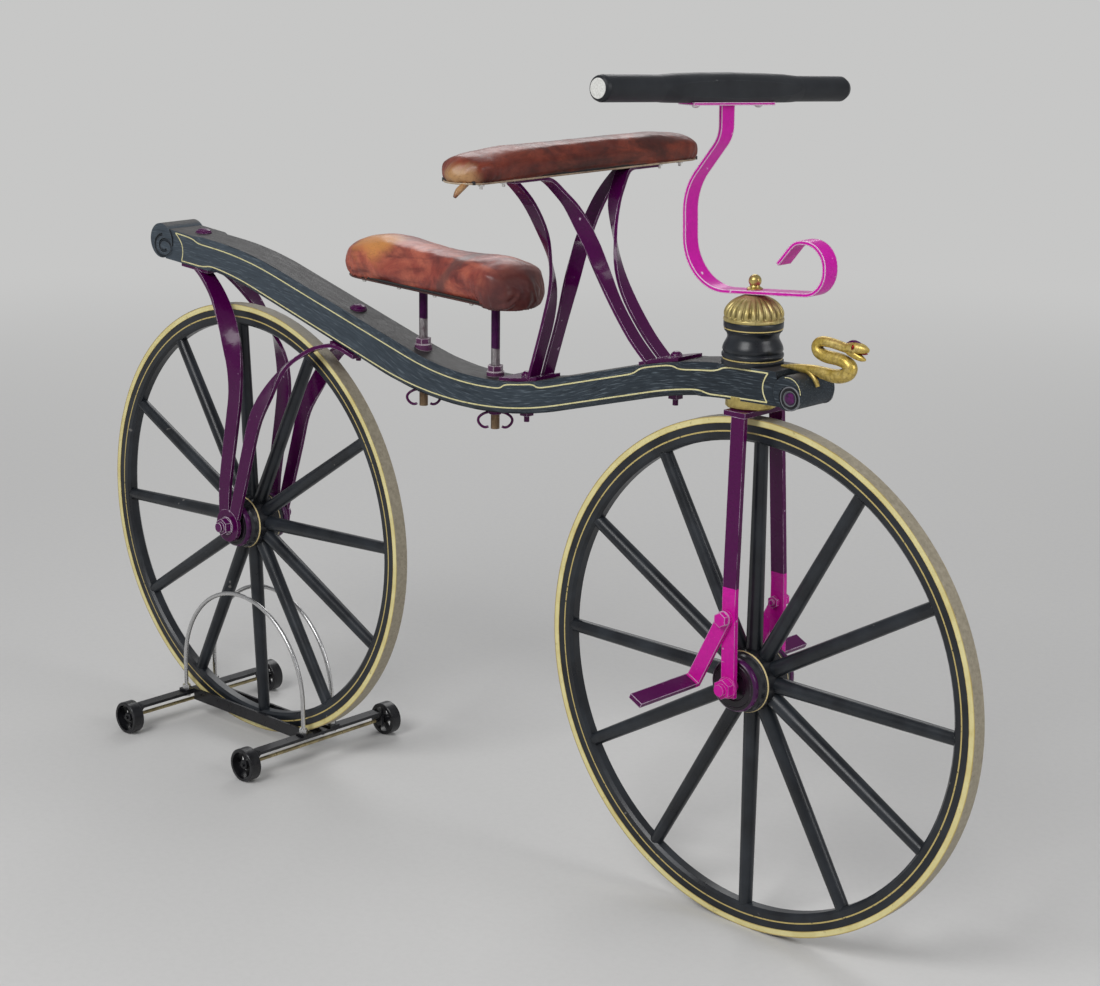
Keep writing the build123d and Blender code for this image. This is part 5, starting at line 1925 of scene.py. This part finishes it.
@dataclass
class Studio:
    """Floor, lamps and the camera at the photograph's angle."""

    focal_pixels: float = 2299.5
    image_width: int = 1100
    eye: Point = (2.34777, -2.33391, 1.38809)
    right: Point = (0.725388, 0.688254, 0.010914)
    up: Point = (-0.182299, 0.176797, 0.967218)
    sensor: float = 36.0
    far_clip: float = 200.0
    backdrop: Colour = (0.57, 0.57, 0.565)
    floor_size: float = 120.0
    floor_colours: tuple[Colour, Colour] = ((0.66, 0.655, 0.645), (0.6, 0.595, 0.585))
    glow_from: float = 1.6
    glow_full: float = 5.5
    sky: Colour = (0.8, 0.81, 0.83)
    sky_strength: float = 0.4
    lamps: tuple = (("key", (0.6, -3.6, 3.6), 2.2, 120.0),
                    ("fill", (4.2, 0.6, 2.4), 2.0, 52.0),
                    ("back", (-2.6, 3.0, 3.4), 2.4, 48.0))
    aim: Point = (0.0, 0.0, 0.6)

    def floor(self) -> None:
        """Lays a wide pale floor, which glows far out so that it shows as an even backdrop."""
        clear_selection()
        bpy.ops.mesh.primitive_plane_add(size=self.floor_size, location=(0, 0, 0))
        piece = named("floor")
        board = Board("floor_paint")
        fine = board.noise(90.0, 4.0, 0.6)
        colour = board.mix(board.span(fine, 0.3, 0.8, 0.0, 0.3), *self.floor_colours)
        board.surface(colour, 0.85, specular=0.2)
        rays = board.add("ShaderNodeLightPath")
        seen = board.maths("MAXIMUM", rays.outputs["Is Camera Ray"], rays.outputs["Is Glossy Ray"])
        square = board.maths("MULTIPLY_ADD", board.x, board.x, board.times(board.y, board.y))
        away = board.span(board.maths("SQRT", square), self.glow_from, self.glow_full)
        glow = board.add("ShaderNodeEmission")
        glow.inputs["Color"].default_value = (*self.backdrop, 1.0)
        blend = board.add("ShaderNodeMixShader")
        output = board.tree.nodes["Material Output"]
        board.feed(blend.inputs[0], board.times(away, seen))
        board.feed(blend.inputs[1], board.shader.outputs[0])
        board.feed(blend.inputs[2], glow.outputs[0])
        board.feed(output.inputs[0], blend.outputs[0])
        piece.data.materials.append(board.material)

    def lamp(self, name: str, where: Point, size: float, power: float) -> None:
        """Hangs one square soft lamp that looks at the object.

        Args:
            name: The lamp's name.
            where: Its place in metres.
            size: The length of its side.
            power: Its strength in watts.
        """
        light = bpy.data.lights.new(name, "AREA")
        light.shape = "SQUARE"
        light.size = size
        light.energy = power
        lamp = bpy.data.objects.new(name, light)
        lamp.location = where
        lamp.rotation_euler = (Vector(self.aim) - Vector(where)).to_track_quat("-Z", "Y").to_euler()
        bpy.context.scene.collection.objects.link(lamp)

    def camera(self) -> None:
        """Sets the camera where the photograph was taken."""
        data = bpy.data.cameras.new("camera")
        data.sensor_fit = "HORIZONTAL"
        data.sensor_width = self.sensor
        data.lens = self.focal_pixels / self.image_width * self.sensor
        data.clip_end = self.far_clip
        camera = bpy.data.objects.new("camera", data)
        right, up = Vector(self.right).normalized(), Vector(self.up).normalized()
        back = right.cross(up).normalized()
        turn = Matrix((right, back.cross(right), back)).transposed()
        camera.matrix_world = Matrix.Translation(Vector(self.eye)) @ turn.to_4x4()
        bpy.context.scene.collection.objects.link(camera)
        bpy.context.scene.camera = camera

    def build(self) -> None:
        """Builds floor, lamps, world and camera."""
        scene = bpy.context.scene
        scene.view_settings.view_transform = "Standard"
        world = bpy.data.worlds.new("studio")
        scene.world = world
        world.use_nodes = True
        sky = world.node_tree.nodes["Background"]
        sky.inputs["Color"].default_value = (*self.sky, 1.0)
        sky.inputs["Strength"].default_value = self.sky_strength
        self.floor()
        for lamp in self.lamps:
            self.lamp(*lamp)
        self.camera()


def shared_finishes() -> dict[str, bpy.types.Material]:
    """Makes the finishes that several sub-assemblies share.

    Returns:
        Their materials by name.
    """
    paints = {
        "purple": WornPaint("purple_paint", (0.07, 0.001, 0.06), chips=0.6, edge=1.1),
        # Rear axle paint: heavy pale wear at the edges, which partly stands for painted glints on its washer
        # and end.
        "rubbed_and_glinting_purple": WornPaint("rubbed_purple_paint", (0.1, 0.008, 0.09), chips=1.0, edge=1.7,
                                   pale=(0.75, 0.66, 0.74)),
        "gilding": Gilding("dome_gilding", depth=5.0),
        "serpent": Gilding("serpent_gilding", (0.58, 0.42, 0.09), (0.72, 0.56, 0.2), (0.12, 0.06, 0.015),
                           depth=4.0, scales=230.0),
        "brass": Metal("collar_brass", (0.6, 0.48, 0.17), (0.34, 0.25, 0.08), 0.28),
    }
    return {name: paint.make() for name, paint in paints.items()}


def main() -> None:
    """Builds every sub-assembly in order."""
    logging.basicConfig(level=logging.INFO, format="%(name)s: %(message)s")
    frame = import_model()
    shop = Shop(frame["nodes"], shared_finishes())
    Studio().build()
    for assembly in (Wheels, BeamLines, Head, Seating, Steering, Stand):
        assembly(shop).build()
    clear_selection()


if __name__ == "__main__":
    main()
